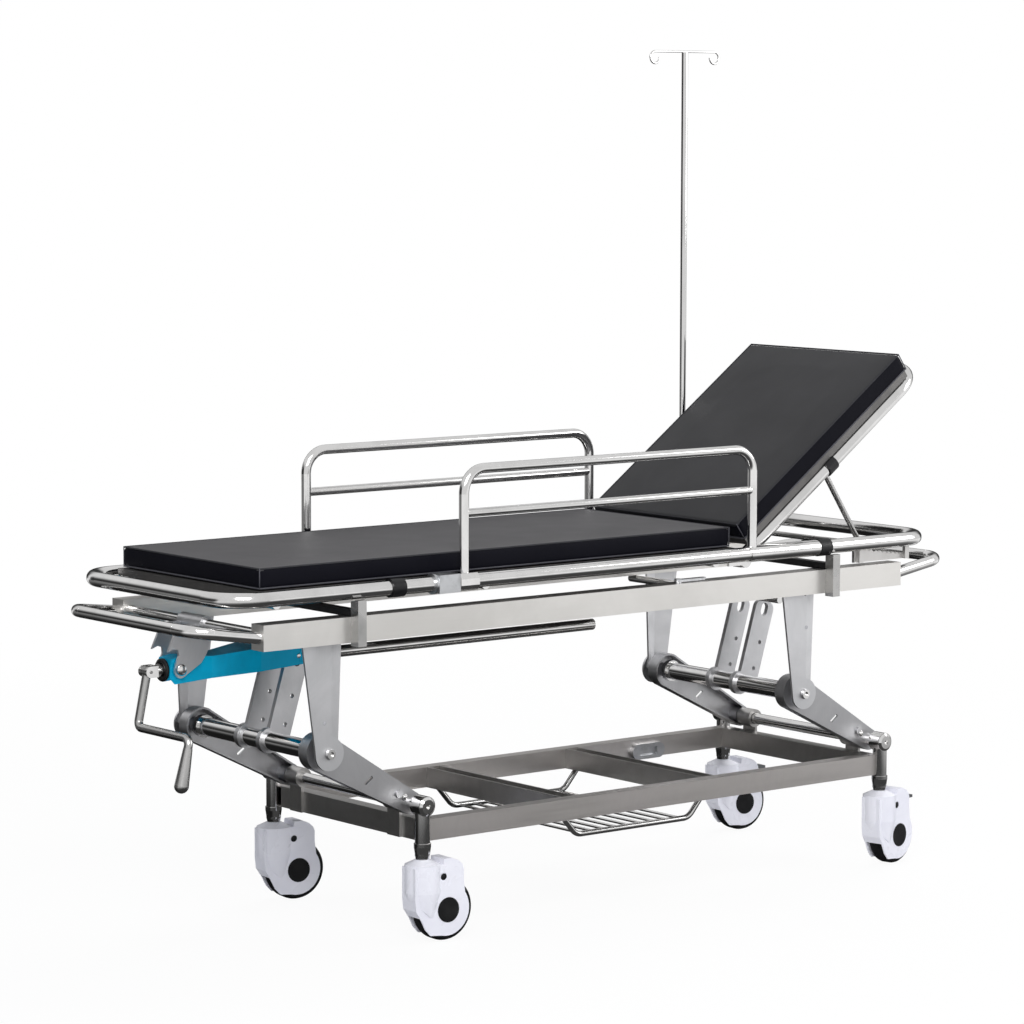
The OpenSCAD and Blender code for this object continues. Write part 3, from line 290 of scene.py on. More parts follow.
# Smudges: broad soft patches broken up by a finer noise
smudges, given, result = effect("smudges", {"Scale": 5.0}, ["Mask"])
broad = add(smudges, "ShaderNodeTexNoise", [("Vector", given["Vector"]), ("Scale", given["Scale"])],
            detail=5.0, roughness=0.62, distortion=0.6)
mask = add(smudges, "ShaderNodeMapRange", [("Value", broad.outputs["Fac"])], from_min=0.42, from_max=0.68)
smudges.links.new(mask.outputs["Result"], result.inputs["Mask"])

# Cover grain: rounded cells with a little unevenness
cover_grain, given, result = effect("cover_grain", {"Scale": 700.0}, ["Height", "Tone"])
cells = add(cover_grain, "ShaderNodeTexVoronoi", [("Vector", given["Vector"]), ("Scale", given["Scale"])],
            feature="SMOOTH_F1")
tone = add(cover_grain, "ShaderNodeTexNoise", [("Vector", given["Vector"])], scale=9.0, detail=4.0)
cover_grain.links.new(cells.outputs["Distance"], result.inputs["Height"])
cover_grain.links.new(tone.outputs["Fac"], result.inputs["Tone"])

# Waviness: the gentle unevenness of sprayed paint and moulded plastic
waviness, given, result = effect("waviness", {"Scale": 260.0}, ["Height"])
waves = add(waviness, "ShaderNodeTexNoise", [("Vector", given["Vector"]), ("Scale", given["Scale"])],
            detail=1.0)
waviness.links.new(waves.outputs["Fac"], result.inputs["Height"])
print("node groups", len(bpy.data.node_groups))


# %% Material builder
belt_roughness = 0.25
belt_depth = 0.0002
wave_depth = 0.0005


def use(tree, group, vector, **numbers):
    """Places a group in a material and sets its named numbers."""
    node = tree.nodes.new("ShaderNodeGroup")
    node.node_tree = group
    tree.links.new(vector, node.inputs["Vector"])
    for label, value in numbers.items():
        node.inputs[label.title()].default_value = value
    return node


def plain(name, gloss):
    """A new material, with its node tree, its shader and the place of each surface point."""
    material = bpy.data.materials.new(name)
    material.use_nodes = True
    tree = material.node_tree
    shader = tree.nodes["Principled BSDF"]
    shader.inputs["Specular IOR Level"].default_value = gloss
    return material, tree, shader, add(tree, "ShaderNodeTexCoord").outputs["Object"]


def blended(tree, mark, light, dark, rough):
    """Colour from light to dark, and roughness over its range, as a mask runs from 0 to 1."""
    colour = add(tree, "ShaderNodeMix", [("Factor", mark)], data_type="RGBA")
    colour.inputs["A"].default_value = (*light, 1)
    colour.inputs["B"].default_value = (*dark, 1)
    spread = add(tree, "ShaderNodeMapRange", [("Value", mark)], to_min=rough[0], to_max=rough[1])
    return colour.outputs["Result"], spread.outputs["Result"]


def bumped(tree, shader, height, strength, depth):
    """Lets a height pattern tilt the surface."""
    bump = add(tree, "ShaderNodeBump", [("Height", height)], strength=strength, distance=depth)
    tree.links.new(bump.outputs["Normal"], shader.inputs["Normal"])


def finish(name, metallic, light, dark, rough, smudge, grain=None, wave=None, gloss=0.5):
    """A material that the smudges darken and roughen, with belt lines or waves where they are asked for."""
    material, tree, shader, spot = plain(name, gloss)
    shader.inputs["Metallic"].default_value = metallic
    mark = use(tree, smudges, spot, scale=smudge).outputs["Mask"]
    colour, roughness = blended(tree, mark, light, dark, rough)
    if grain:
        stretch, strength = grain
        along = add(tree, "ShaderNodeMapping", [("Vector", spot)], scale=stretch)
        streak = use(tree, belt_lines, along.outputs["Vector"]).outputs["Lines"]
        more = add(tree, "ShaderNodeMath", [(0, streak), (2, roughness)], operation="MULTIPLY_ADD")
        more.inputs[1].default_value = belt_roughness
        roughness = more.outputs[0]
        bumped(tree, shader, streak, strength, belt_depth)
    if wave:
        scale, strength = wave
        height = use(tree, waviness, spot, scale=scale).outputs["Height"]
        bumped(tree, shader, height, strength, wave_depth)
    tree.links.new(colour, shader.inputs["Base Color"])
    tree.links.new(roughness, shader.inputs["Roughness"])
    return material


# %% Metals
# Belt lines run along one axis, so the noise is squeezed across it
lines_along_x = (6, 420, 420)
lines_along_y = (420, 6, 420)
lines_along_z = (300, 300, 8)

rail_steel = finish("rail_steel", 1.0, light=(0.80, 0.785, 0.76), dark=(0.74, 0.725, 0.70), rough=(0.2, 0.3),
                    smudge=4.0, grain=(lines_along_x, 0.3))
base_steel = finish("base_steel", 1.0, light=(0.72, 0.69, 0.67), dark=(0.6, 0.57, 0.56), rough=(0.22, 0.34),
                    smudge=4.0, grain=(lines_along_x, 0.35))
sheet_steel = finish("sheet_steel", 1.0, light=(0.62, 0.61, 0.6), dark=(0.5, 0.49, 0.48), rough=(0.22, 0.34),
                     smudge=6.0, grain=(lines_along_y, 0.3))
tube_steel = finish("tube_steel", 1.0, light=(0.78, 0.775, 0.77), dark=(0.67, 0.665, 0.66),
                    rough=(0.07, 0.16), smudge=9.0)
pressed_steel = finish("pressed_steel", 1.0, light=(0.74, 0.74, 0.76), dark=(0.64, 0.645, 0.66),
                       rough=(0.26, 0.38), smudge=6.0, grain=(lines_along_z, 0.35))
arm_steel = finish("arm_steel", 1.0, light=(0.56, 0.56, 0.575), dark=(0.48, 0.48, 0.495), rough=(0.26, 0.38),
                   smudge=6.0, grain=(lines_along_z, 0.35))
crank_steel = finish("crank_steel", 1.0, light=(0.5, 0.495, 0.49), dark=(0.4, 0.4, 0.395),
                     rough=(0.25, 0.38), smudge=14.0)
# The decks are steel sheet made dark: painted shade, for the shadow under the pads
painted_shade_deck = finish("painted_shade_deck", 1.0, light=(0.17, 0.165, 0.163), dark=(0.12, 0.118, 0.116),
                    rough=(0.32, 0.45), smudge=6.0, grain=(lines_along_y, 0.3))
cast_alloy = finish("cast_alloy", 1.0, light=(0.62, 0.63, 0.65), dark=(0.48, 0.49, 0.5), rough=(0.3, 0.45),
                    smudge=22.0, wave=(900.0, 0.25))
pedal_metal = finish("pedal_metal", 1.0, light=(0.3, 0.31, 0.32), dark=(0.2, 0.2, 0.21), rough=(0.35, 0.5),
                     smudge=30.0, wave=(800.0, 0.3))
print("materials", len(bpy.data.materials))

# %% Paint, plastic and rubber
teal_paint = finish("teal_paint", 0.0, light=(0.0, 0.40, 0.66), dark=(0.0, 0.32, 0.54), rough=(0.3, 0.42),
                    smudge=12.0, wave=(420.0, 0.2), gloss=0.12)
shroud_plastic = finish("shroud_plastic", 0.0, light=(0.9, 0.9, 0.97), dark=(0.85, 0.85, 0.93),
                        rough=(0.25, 0.38), smudge=8.0, wave=(260.0, 0.12))
tyre_rubber = finish("tyre_rubber", 0.0, light=(0.006, 0.006, 0.007), dark=(0.014, 0.014, 0.015),
                     rough=(0.5, 0.7), smudge=30.0, wave=(1500.0, 0.5), gloss=0.25)
black_plastic = finish("black_plastic", 0.0, light=(0.006, 0.006, 0.007), dark=(0.012, 0.012, 0.013),
                       rough=(0.3, 0.45), smudge=20.0, wave=(1100.0, 0.35), gloss=0.3)
print("materials", len(bpy.data.materials))

# %% Mattress cover
pebble_scale = 620.0
pebble_strength = 0.25
pebble_depth = 0.0003


def cover(name, light, dark, rough, gloss):
    """Coated cloth: pebbled grain, with a slow drift in tone."""
    material, tree, shader, spot = plain(name, gloss)
    grain = use(tree, cover_grain, spot, scale=pebble_scale)
    colour, roughness = blended(tree, grain.outputs["Tone"], light, dark, rough)
    bumped(tree, shader, grain.outputs["Height"], pebble_strength, pebble_depth)
    tree.links.new(colour, shader.inputs["Base Color"])
    tree.links.new(roughness, shader.inputs["Roughness"])
    return material


black_cover = cover("black_cover", light=(0.017, 0.017, 0.020), dark=(0.011, 0.011, 0.013),
                    rough=(0.42, 0.55), gloss=0.35)
# The seat's cover is the backrest's cloth made lighter: painted sheen, for light grazing its top
seat_cover = cover("seat_cover", light=(0.068, 0.066, 0.07), dark=(0.054, 0.053, 0.056),
                   rough=(0.42, 0.55), gloss=0.35)
# The cover's walls are the same cloth made darker: painted shade
painted_shade_side_cover = cover("painted_shade_side_cover", light=(0.006, 0.006, 0.010), dark=(0.003, 0.003, 0.006),
                   rough=(0.45, 0.55), gloss=0.06)
# The bottom cord and the corner seams are the cover's cloth made lighter: a painted highlight
painted_highlight_piping = cover("painted_highlight_piping", light=(0.10, 0.10, 0.115), dark=(0.07, 0.07, 0.08),
                    rough=(0.6, 0.7), gloss=0.08)
# The top cord is the cloth made a little lighter: a faint painted sheen
painted_sheen_piping = cover("painted_sheen_piping", light=(0.055, 0.055, 0.06), dark=(0.04, 0.04, 0.044),
                     rough=(0.7, 0.8), gloss=0.03)
print("materials", len(bpy.data.materials))

# %% Finishes on the CAD nodes
finishes = {
    rail_steel: ["chassis_rails", "rail_end_caps"],
    base_steel: ["base_side_rails"],
    sheet_steel: ["base_end_rails", "base_channels", "bearing_blocks", "prop_rack"],
    # The decks' dark steel is painted shade
    painted_shade_deck: ["litter_deck", "backrest_deck"],
    crank_steel: ["crank_handle", "crank_grip", "cradle_posts", "backrest_prop"],
    tube_steel: ["basket_frame", "basket_wires", "stems_foot", "stems_head", "pivot_shaft_foot",
                 "pivot_shaft_head", "elbow_tube_foot", "elbow_tube_head", "chassis_tubes", "bumper_foot",
                 "bumper_head", "screw_tube", "crank_shaft", "litter_frame", "guard_left", "guard_right",
                 "backrest_frame", "infusion_pole"],
    pressed_steel: ["leg_plates_foot", "leg_plates_head", "levers_foot", "levers_head", "crank_bracket"],
    arm_steel: ["arms_foot", "arms_head"],
    cast_alloy: ["keeper_plate", "guard_latches", "litter_latch", "pole_socket", "drive_nut"],
    pedal_metal: ["brake_pedal_left", "brake_pedal_right"],
    teal_paint: ["screw_housing"],
    shroud_plastic: ["castor_housing_lf", "castor_housing_rf", "castor_housing_lh", "castor_housing_rh"],
    tyre_rubber: ["castor_wheel_lf", "castor_wheel_rf", "castor_wheel_lh", "castor_wheel_rh"],
    black_plastic: ["side_collars", "prop_collars", "cradle_beams"],
}
for material, names in finishes.items():
    for name in names:
        for slot in nodes[name].material_slots:
            slot.material = material
print("finished", sum(len(names) for names in finishes.values()), "nodes")


# %% [markdown]
# ## Places taken from the photograph
#
# A few named points tie the scene to the picture: the trolley's outermost edges, corners that set the
# camera, and the small things added below. A fitting's point gives a ray out of the camera; where the
# ray meets the part that carries the fitting is where it sits, facing outward.

# %% Image points
edges = {"left_edge": 70.3, "right_edge": 938.0, "top_edge": 49.0, "bottom_edge": 941.0}
corners_seen = {
    "rail_foot_end": (263.5, 626.0),
    "rail_head_end": (900.8, 561.5),
    "seat_near_corner": (259.0, 568.4),
    "backrest_far_corner": (755.7, 343.0),
    "backrest_near_corner": (895.5, 351.7),
    "near_foot_hub": (448.9, 910.2),
}
fitting_points = {
    "castor_dot": (443.8, 877.0),
    "arm_bolt_foot": (404.5, 797.0),
    "arm_bolt_head": (860.3, 733.3),
    "plate_plug_foot": (324.5, 723.3),
    "plate_plug_head": (806.3, 627.3),
    "plate_dot_head": (805.2, 594.9),
    "bracket_bolt": (181.8, 669.7),
    "housing_bolt": (298.9, 655.8),
    "seat_seam": (400.0, 576.3),
}
print("image points", len(edges) + len(corners_seen) + len(fitting_points))


# %% From a point to a place
# How large a thing shows in the picture, per unit of its size over its distance
points_per_slope = photo_size * lens_mm / sensor_mm
# Where a ray misses, the nearest place is looked for in small steps, before and beyond the trolley's middle
search_step = 0.004
search_steps = 350


def surface_points(pieces):
    """Every corner of the pieces, as placed."""
    return [piece.matrix_world @ vertex.co for piece in pieces for vertex in piece.data.vertices]


def carrier_tree(pieces):
    """A search tree over finished meshes, as placed."""
    faces, first = [], 0
    for piece in pieces:
        faces += [[first + index for index in polygon.vertices] for polygon in piece.data.polygons]
        first += len(piece.data.vertices)
    return BVHTree.FromPolygons(surface_points(pieces), faces)


def through(point):
    """The way a ray runs from the camera through an image point."""
    x, y = point
    way = Vector((x - photo_size / 2, photo_size / 2 - y, -points_per_slope))
    return (camera.matrix_world.to_3x3() @ way).normalized()


def place(point, pieces):
    """Where the ray meets the pieces, and the outward direction there; a miss takes the nearest place."""
    tree = carrier_tree(pieces)
    start, way = camera.matrix_world.translation, through(point)
    spot, outward, _, _ = tree.ray_cast(start, way)
    if spot is None:
        tries = [tree.find_nearest(start + way * (camera_distance + search_step * step))
                 for step in range(-search_steps, search_steps + 1)]
        spot, outward, _, miss = min(tries, key=lambda found: found[3])
        print("the ray misses by mm", round(1000 * miss, 1))
    return spot, outward


def image_place(co):
    """Where a point in space shows in the picture."""
    local = camera.matrix_world.inverted() @ co
    scale = points_per_slope / -local.z
    return photo_size / 2 + local.x * scale, photo_size / 2 - local.y * scale


print("the aim shows at", [round(value, 1) for value in image_place(aim)])


# %% [markdown]
# ## Mattress
#
# Each half of the mattress is a foam slab in a coated cover: flat panels joined by seams, with a thin
# cord sewn into them. The seams stay straight because the cover is cut to size, and the panels
# between them swell a little. A cloth simulation gives that swell: the cover is a shell with its
# seams pinned and a small pressure inside. The backrest's half is made lying flat, where its seams
# run along the axes, and is then turned up about the hinge.

# %% Where the pads lie
hinge = Vector(joints["backrest_tilt"]["pos_m"])
pad_points = [vertex.co for vertex in nodes["backrest_pad"].data.vertices]
pad_heel = min(pad_points, key=lambda co: co.z)
pad_end = max(pad_points, key=lambda co: co.x)
rest_angle = math.atan2(pad_end.z - pad_heel.z, pad_end.x - pad_heel.x)
print("backrest raised by", round(math.degrees(rest_angle), 2))
raise_back = Matrix.Translation(hinge) @ Matrix.Rotation(-rest_angle, 4, "Y") @ Matrix.Translation(-hinge)


def flat_box(node, turn):
    """Lowest and highest corner of a node, laid flat by undoing its turn."""
    undo = turn.inverted()
    corners = [undo @ vertex.co for vertex in nodes[node].data.vertices]
    return (Vector(min(c[i] for c in corners) for i in range(3)),
            Vector(max(c[i] for c in corners) for i in range(3)))


seat_box = flat_box("seat_pad", Matrix.Identity(4))
back_box = flat_box("backrest_pad", raise_back)
for label, (low, high) in (("seat", seat_box), ("backrest", back_box)):
    print(label, "pad mm", [round(1000 * value) for value in high - low])


# %% Pieces
def new_piece(name, bm, material):
    """Turns a bmesh into an object at the origin."""
    mesh = bpy.data.meshes.new(name)
    bm.to_mesh(mesh)
    bm.free()
    piece = bpy.data.objects.new(name, mesh)
    bpy.context.scene.collection.objects.link(piece)
    mesh.materials.append(material)
    for polygon in mesh.polygons:
        polygon.use_smooth = True
    return piece


def apply_modifiers(piece):
    """Leaves the piece with its evaluated mesh and no modifiers."""
    view = bpy.context.evaluated_depsgraph_get()
    mesh = bpy.data.meshes.new_from_object(piece.evaluated_get(view))
    piece.modifiers.clear()
    piece.data = mesh


def corners_of(parts):
    """The vertices among the parts that an operator gives back."""
    return [part for part in parts if isinstance(part, bmesh.types.BMVert)]


# %% Cover shells
seam_inset = 0.002
edge_round = 0.005
# The middle of a rounded edge lies about 0.29 of its radius inside the flat faces
edge_middle = seam_inset + edge_round * 0.29
voxel = 0.006


def cover_shell(name, box, material):
    """A slab with rounded edges, just inside the pad's box, in small even faces."""
    low, high = box
    size = high - low
    bm = bmesh.new()
    bmesh.ops.create_cube(bm, size=1.0)
    bmesh.ops.scale(bm, vec=size - Vector((1, 1, 1)) * 2 * seam_inset, verts=bm.verts)
    bmesh.ops.translate(bm, vec=(low + high) / 2, verts=bm.verts)
    bmesh.ops.bevel(bm, geom=bm.edges[:], offset=edge_round, segments=3, profile=0.5,
                    affect="EDGES", material=-1)
    piece = new_piece(name, bm, material)
    remesh = piece.modifiers.new("even_faces", "REMESH")
    remesh.mode = "VOXEL"
    remesh.voxel_size = voxel
    apply_modifiers(piece)
    return piece


# %% Swell
# The pressure is small, and no vertex may go further than the cap
cover_stiffness = 40
air_pressure = 4.0
swell_frames = 20
most_swell = 0.004


def pin_seams(piece, box):
    """Pins every vertex that lies near two or more sides of the box, which is where the seams run."""
    low, high = box
    pins = piece.vertex_groups.new(name="seams")
    near = edge_round + voxel
    for vertex in piece.data.vertices:
        close = sum(min(vertex.co[i] - low[i], high[i] - vertex.co[i]) < near for i in range(3))
        if close >= 2:
            pins.add([vertex.index], 1.0, "REPLACE")


def swell(piece, box):
    """Blows the panels out with a cloth simulation, and caps how far they go."""
    before = [vertex.co.copy() for vertex in piece.data.vertices]
    pin_seams(piece, box)
    cloth = piece.modifiers.new("cover", "CLOTH")
    cloth.settings.use_pressure = True
    cloth.settings.uniform_pressure_force = air_pressure
    cloth.settings.effector_weights.gravity = 0.0
    cloth.settings.vertex_group_mass = "seams"
    cloth.settings.quality = 5
    cloth.settings.tension_stiffness = cover_stiffness
    cloth.settings.compression_stiffness = cover_stiffness
    cloth.settings.bending_stiffness = 2
    cloth.collision_settings.use_self_collision = False
    cloth.point_cache.frame_start = 1
    cloth.point_cache.frame_end = swell_frames
    scene = bpy.context.scene
    for step in range(1, swell_frames + 1):
        scene.frame_set(step)
    apply_modifiers(piece)
    scene.frame_set(1)
    for vertex, start in zip(piece.data.vertices, before):
        move = vertex.co - start
        if move.length > most_swell:
            vertex.co = start + move.normalized() * most_swell
    furthest_move = max((vertex.co - start).length for vertex, start in zip(piece.data.vertices, before))
    print(piece.name, "swelled mm", round(1000 * furthest_move, 1))


# %% Sewn cord
cord_radius = 0.0017


def edge_depth(from_face):
    """How far inside the pad's box the cover's rounded edge lies, at a distance from its flat face."""
    short = max(0.0, edge_round - (from_face - seam_inset))
    return seam_inset + edge_round - math.sqrt(max(0.0, edge_round ** 2 - short ** 2))


def cord_loop(bm, box, height):
    """One cord round a pad: a small ring drawn along each side and spun round each corner."""
    low, high = box
    depth = edge_depth(min(height - low.z, high.z - height))
    corner = seam_inset + edge_round - depth
    left, right_side = low.x + depth, high.x - depth
    near, far = low.y + depth, high.y - depth
    start = Matrix.Translation((left + corner, near, height)) @ Matrix.Rotation(math.pi / 2, 4, "Y")
    ring = bmesh.ops.create_circle(bm, segments=8, radius=cord_radius, matrix=start)["verts"]
    ends = list({edge for vertex in ring for edge in vertex.link_edges})
    sides = [(Vector((1, 0, 0)), right_side - left, (right_side - corner, near + corner)),
             (Vector((0, 1, 0)), far - near, (right_side - corner, far - corner)),
             (Vector((-1, 0, 0)), right_side - left, (left + corner, far - corner)),
             (Vector((0, -1, 0)), far - near, (left + corner, near + corner))]
    for way, length, (x, y) in sides:
        drawn = bmesh.ops.extrude_edge_only(bm, edges=ends)["geom"]
        bmesh.ops.translate(bm, vec=way * (length - 2 * corner), verts=corners_of(drawn))
        ends = [part for part in drawn if isinstance(part, bmesh.types.BMEdge) and len(part.link_faces) == 1]
        spun = bmesh.ops.spin(bm, geom=ends, cent=(x, y, height), axis=(0, 0, 1), dvec=(0, 0, 0),
                              angle=math.pi / 2, steps=5, use_merge=False, use_duplicate=False)
        ends = [part for part in spun["geom_last"] if isinstance(part, bmesh.types.BMEdge)]


def sewn_cord(name, box, turn, height, material):
    """A closed cord round a pad at one height, turned as the pad is."""
    bm = bmesh.new()
    cord_loop(bm, box, height)
    bmesh.ops.remove_doubles(bm, verts=bm.verts, dist=0.0001)
    bmesh.ops.recalc_face_normals(bm, faces=bm.faces)
    bmesh.ops.transform(bm, matrix=turn, verts=bm.verts)
    return new_piece(name, bm, material)


# %% Corner seams
corner_cord_radius = 0.0011


def corner_seams(name, box, turn):
    """The upright seam at each corner: a thin cord with closed ends."""
    low, high = box
    bm = bmesh.new()
    for x in (low.x + edge_middle, high.x - edge_middle):
        for y in (low.y + edge_middle, high.y - edge_middle):
            foot = Matrix.Translation((x, y, low.z + seam_inset))
            ring = bmesh.ops.create_circle(bm, cap_ends=True, segments=8, radius=corner_cord_radius,
                                           matrix=foot)["verts"]
            drawn = bmesh.ops.extrude_face_region(bm, geom=[ring[0].link_faces[0]])["geom"]
            bmesh.ops.translate(bm, vec=(0, 0, high.z - low.z - 2 * seam_inset), verts=corners_of(drawn))
    bmesh.ops.recalc_face_normals(bm, faces=bm.faces)
    bmesh.ops.transform(bm, matrix=turn, verts=bm.verts)
    # The corner seams carry the cord's painted highlight
    return new_piece(name, bm, painted_highlight_piping)


# %% Make both halves
highest_seam = 0.006
panel_slope = 0.5

seam_spot, _ = place(fitting_points["seat_seam"], [nodes["seat_pad"]])
seam_height = min(max(seam_spot.z - seat_box[0].z, edge_middle), highest_seam)
print("the bottom cord lies mm above the pad's foot", round(1000 * seam_height, 1))
# The seat's cover carries a painted sheen; the backrest has the cloth's own colour
for label, node, body, box, turn, cloth_finish in (
        ("seat", "seat_pad", "litter", seat_box, Matrix.Identity(4), seat_cover),
        ("backrest", "backrest_pad", "backrest", back_box, raise_back, black_cover)):
    shell = cover_shell(label + "_cover", box, cloth_finish)
    swell(shell, box)
    # The top and bottom panels take the cover's own finish, and the walls between them a darker copy:
    # painted shade
    shell.data.materials.append(painted_shade_side_cover)
    for polygon in shell.data.polygons:
        polygon.use_smooth = True
        polygon.material_index = 0 if abs(polygon.normal.z) > panel_slope else 1
    finer = shell.modifiers.new("finer", "SUBSURF")
    finer.levels = finer.render_levels = 1
    apply_modifiers(shell)
    shell.data.transform(turn)
    # The bottom cord carries a painted highlight
    low_cord = sewn_cord(label + "_bottom_cord", box, turn, box[0].z + seam_height, painted_highlight_piping)
    # The top cord carries a faint painted sheen
    top_cord = sewn_cord(label + "_top_cord", box, turn, box[1].z - edge_middle, painted_sheen_piping)
    corners = corner_seams(label + "_corner_seams", box, turn)
    for piece in (shell, low_cord, top_cord, corners):
        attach(piece, body)
    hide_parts(node)
    print(label, "faces", len(shell.data.polygons), len(low_cord.data.polygons))


# %% [markdown]
# ## Small fittings
#
# Bolts, plugs and caps are turned parts: a half outline spun about its own axis. Each is made at its
# place, on the part that its point's ray meets. Those that come in mirrored pairs or in fours keep
# the same place on each part.

# %% Fitting finishes
fitting_steel = finish("fitting_steel", 1.0, light=(0.8, 0.795, 0.79), dark=(0.64, 0.635, 0.63),
                       rough=(0.14, 0.26), smudge=60.0)
plug_grey = finish("plug_grey", 0.0, light=(0.42, 0.42, 0.44), dark=(0.33, 0.33, 0.35), rough=(0.35, 0.5),
                   smudge=60.0, wave=(900.0, 0.2), gloss=0.3)
print("materials", len(bpy.data.materials))


# %% Turned parts
# A fitting starts a little under the surface that carries it, so that no gap shows; its straight rim
# takes a share of its height
sunk = 0.0006
rim_share = 0.3


def set_down(work, bm, spot, outward):
    """Moves a part that was made upright at the origin to its spot, and joins it to bm."""
    stand = Matrix.Translation(spot) @ outward.to_track_quat("Z", "Y").to_matrix().to_4x4()
    bmesh.ops.recalc_face_normals(work, faces=work.faces)
    bmesh.ops.transform(work, matrix=stand, verts=work.verts)
    part = bpy.data.meshes.new("fitting_part")
    work.to_mesh(part)
    work.free()
    bm.from_mesh(part)
    bpy.data.meshes.remove(part)


def turned(bm, outline, spot, outward, steps=28):
    """Spins an outline of (radius, height) pairs about the outward direction at a spot."""
    work = bmesh.new()
    corners = [work.verts.new((radius, 0, height)) for radius, height in outline]
    for first, second in zip(corners, corners[1:]):
        work.edges.new((first, second))
    bmesh.ops.spin(work, geom=work.verts[:] + work.edges[:], cent=(0, 0, 0), axis=(0, 0, 1), dvec=(0, 0, 0),
                   angle=2 * math.pi, steps=steps, use_merge=True, use_duplicate=False)
    bmesh.ops.remove_doubles(work, verts=work.verts, dist=0.00001)
    set_down(work, bm, spot, outward)


def dome(radius, height):
    """A low dome on a straight rim."""
    outline = [(0, -sunk), (radius, -sunk)]
    for degrees in range(90, -1, -15):
        angle = math.radians(degrees)
        outline.append((radius * math.sin(angle), height * (rim_share + (1 - rim_share) * math.cos(angle))))
    return outline


# %% Bolt heads
# Shares of the width across the flats
hex_softening = 0.06
hex_dome_radius = 0.32
hex_dome_height = 0.2


def hex_bolt(bm, across, height, spot, outward):
    """A six-sided head with softened edges, and a domed end on it."""
    work = bmesh.new()
    ring = bmesh.ops.create_circle(work, cap_ends=True, segments=6, radius=across / math.sqrt(3))["verts"]
    drawn = bmesh.ops.extrude_face_region(work, geom=[ring[0].link_faces[0]])["geom"]
    bmesh.ops.translate(work, vec=(0, 0, height), verts=corners_of(drawn))
    bmesh.ops.bevel(work, geom=work.edges[:], offset=across * hex_softening, segments=2, profile=0.5,
                    affect="EDGES", material=-1)
    set_down(work, bm, spot, outward)
    turned(bm, dome(across * hex_dome_radius, across * hex_dome_height), spot + outward * height, outward)


# %% Where fittings go
def fitting(name, bm, material, body):
    """Makes the object, and lets it ride on its body."""
    piece = new_piece(name, bm, material)
    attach(piece, body)
    return piece


def both_sides(spot, outward):
    """A place and the mirrored place on the trolley's other side, each with its outward direction."""
    across = Vector((1, -1, 1))
    return [(spot, outward), (spot * across, outward * across)]


# %% Castor plugs
castor_plug_radius = 0.0071
castor_plug_height = 0.0016
upward = Vector((0, 0, 1))


def castor_turn(name):
    """The swivel's place and the wheel axis of one castor, both from its joints."""
    return Vector(joints["castor_swivel_" + name]["pos_m"]), Vector(joints["wheel_spin_" + name]["axis"])


dot_spot, _ = place(fitting_points["castor_dot"], [nodes["castor_housing_lf"]])
first_stem, first_axle = castor_turn("lf")
from_stem = dot_spot - first_stem
ahead = from_stem.dot(first_axle.cross(upward))
half_width = abs(from_stem.dot(first_axle))
print("castor plug ahead, up, out mm", [round(1000 * value, 1) for value in (ahead, dot_spot.z, half_width)])
castor_plugs = {}
for name in ("lf", "rf", "lh", "rh"):
    stem, axle = castor_turn(name)
    bm = bmesh.new()
    for side in (-1, 1):
        spot = Vector((stem.x, stem.y, 0)) + axle.cross(upward) * ahead + axle * side * half_width
        turned(bm, dome(castor_plug_radius, castor_plug_height), spot + upward * dot_spot.z, axle * side)
    castor_plugs[name] = fitting("castor_plugs_" + name, bm, black_plastic, "castor_" + name)

# %% Bolts on the arms
arm_bolt_across = 0.012
arm_bolt_height = 0.003

arm_bolts = {}
for end, body in (("foot", "foot_arm"), ("head", "head_arm")):
    bm = bmesh.new()
    for spot, outward in both_sides(*place(fitting_points["arm_bolt_" + end], [nodes["arms_" + end]])):
        hex_bolt(bm, arm_bolt_across, arm_bolt_height, spot, outward)
    arm_bolts[end] = fitting("arm_bolts_" + end, bm, fitting_steel, body)
print("arm bolts", 2 * len(arm_bolts))

# %% Plugs in the leg plates
plug_radius = 0.0042
small_plug_radius = 0.0022
plug_height = 0.001

leg_plugs = {}
for label, end, radius, material, slot in (
        ("plate_plug_foot", "foot", plug_radius, plug_grey, "fittings"),
        ("plate_plug_head", "head", plug_radius, plug_grey, "fittings"),
        ("plate_dot_head", "head", small_plug_radius, black_plastic, "black_parts")):
    bm = bmesh.new()
    for spot, outward in both_sides(*place(fitting_points[label], [nodes["leg_plates_" + end]])):
        turned(bm, dome(radius, plug_height), spot, outward)
    leg_plugs[label] = fitting(label, bm, material, "upper_frame")
print("leg plate plugs", 2 * len(leg_plugs))

# %% Bolts through the drive housing
# The heads' heights are a share of their radii
hinge_bolt_radius = 0.0105
rear_bolt_radius = 0.0045
drive_bolt_rise = 0.28

hinge_spot, hinge_out = place(fitting_points["bracket_bolt"], [nodes["screw_housing"]])
rear_spot, rear_out = place(fitting_points["housing_bolt"], [nodes["screw_housing"]])
bm = bmesh.new()
for first_spot, first_out, radius in ((hinge_spot, hinge_out, hinge_bolt_radius),
                                      (rear_spot, rear_out, rear_bolt_radius)):
    for spot, outward in both_sides(first_spot, first_out):
        turned(bm, dome(radius, radius * drive_bolt_rise), spot, outward)
drive_bolts = fitting("drive_bolts", bm, fitting_steel, "screw_strut")
print("drive bolts at", [[round(value, 3) for value in spot] for spot in (hinge_spot, rear_spot)])

# %% Cap and collar of the drive housing
# The open rear of the housing gets a black cap with softened edges, and its nose a black collar
housing_low, housing_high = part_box("screw_housing")
shaft = Vector(joints["crank_turn"]["pos_m"])
cap_overlap = 0.001
cap_thickness = 0.005
cap_stands_out = 0.002
cap_below_shaft = 0.004
cap_rim = 0.006
cap_hollow = 0.0012
cap_softening = 0.0006
rear_zone = 0.002

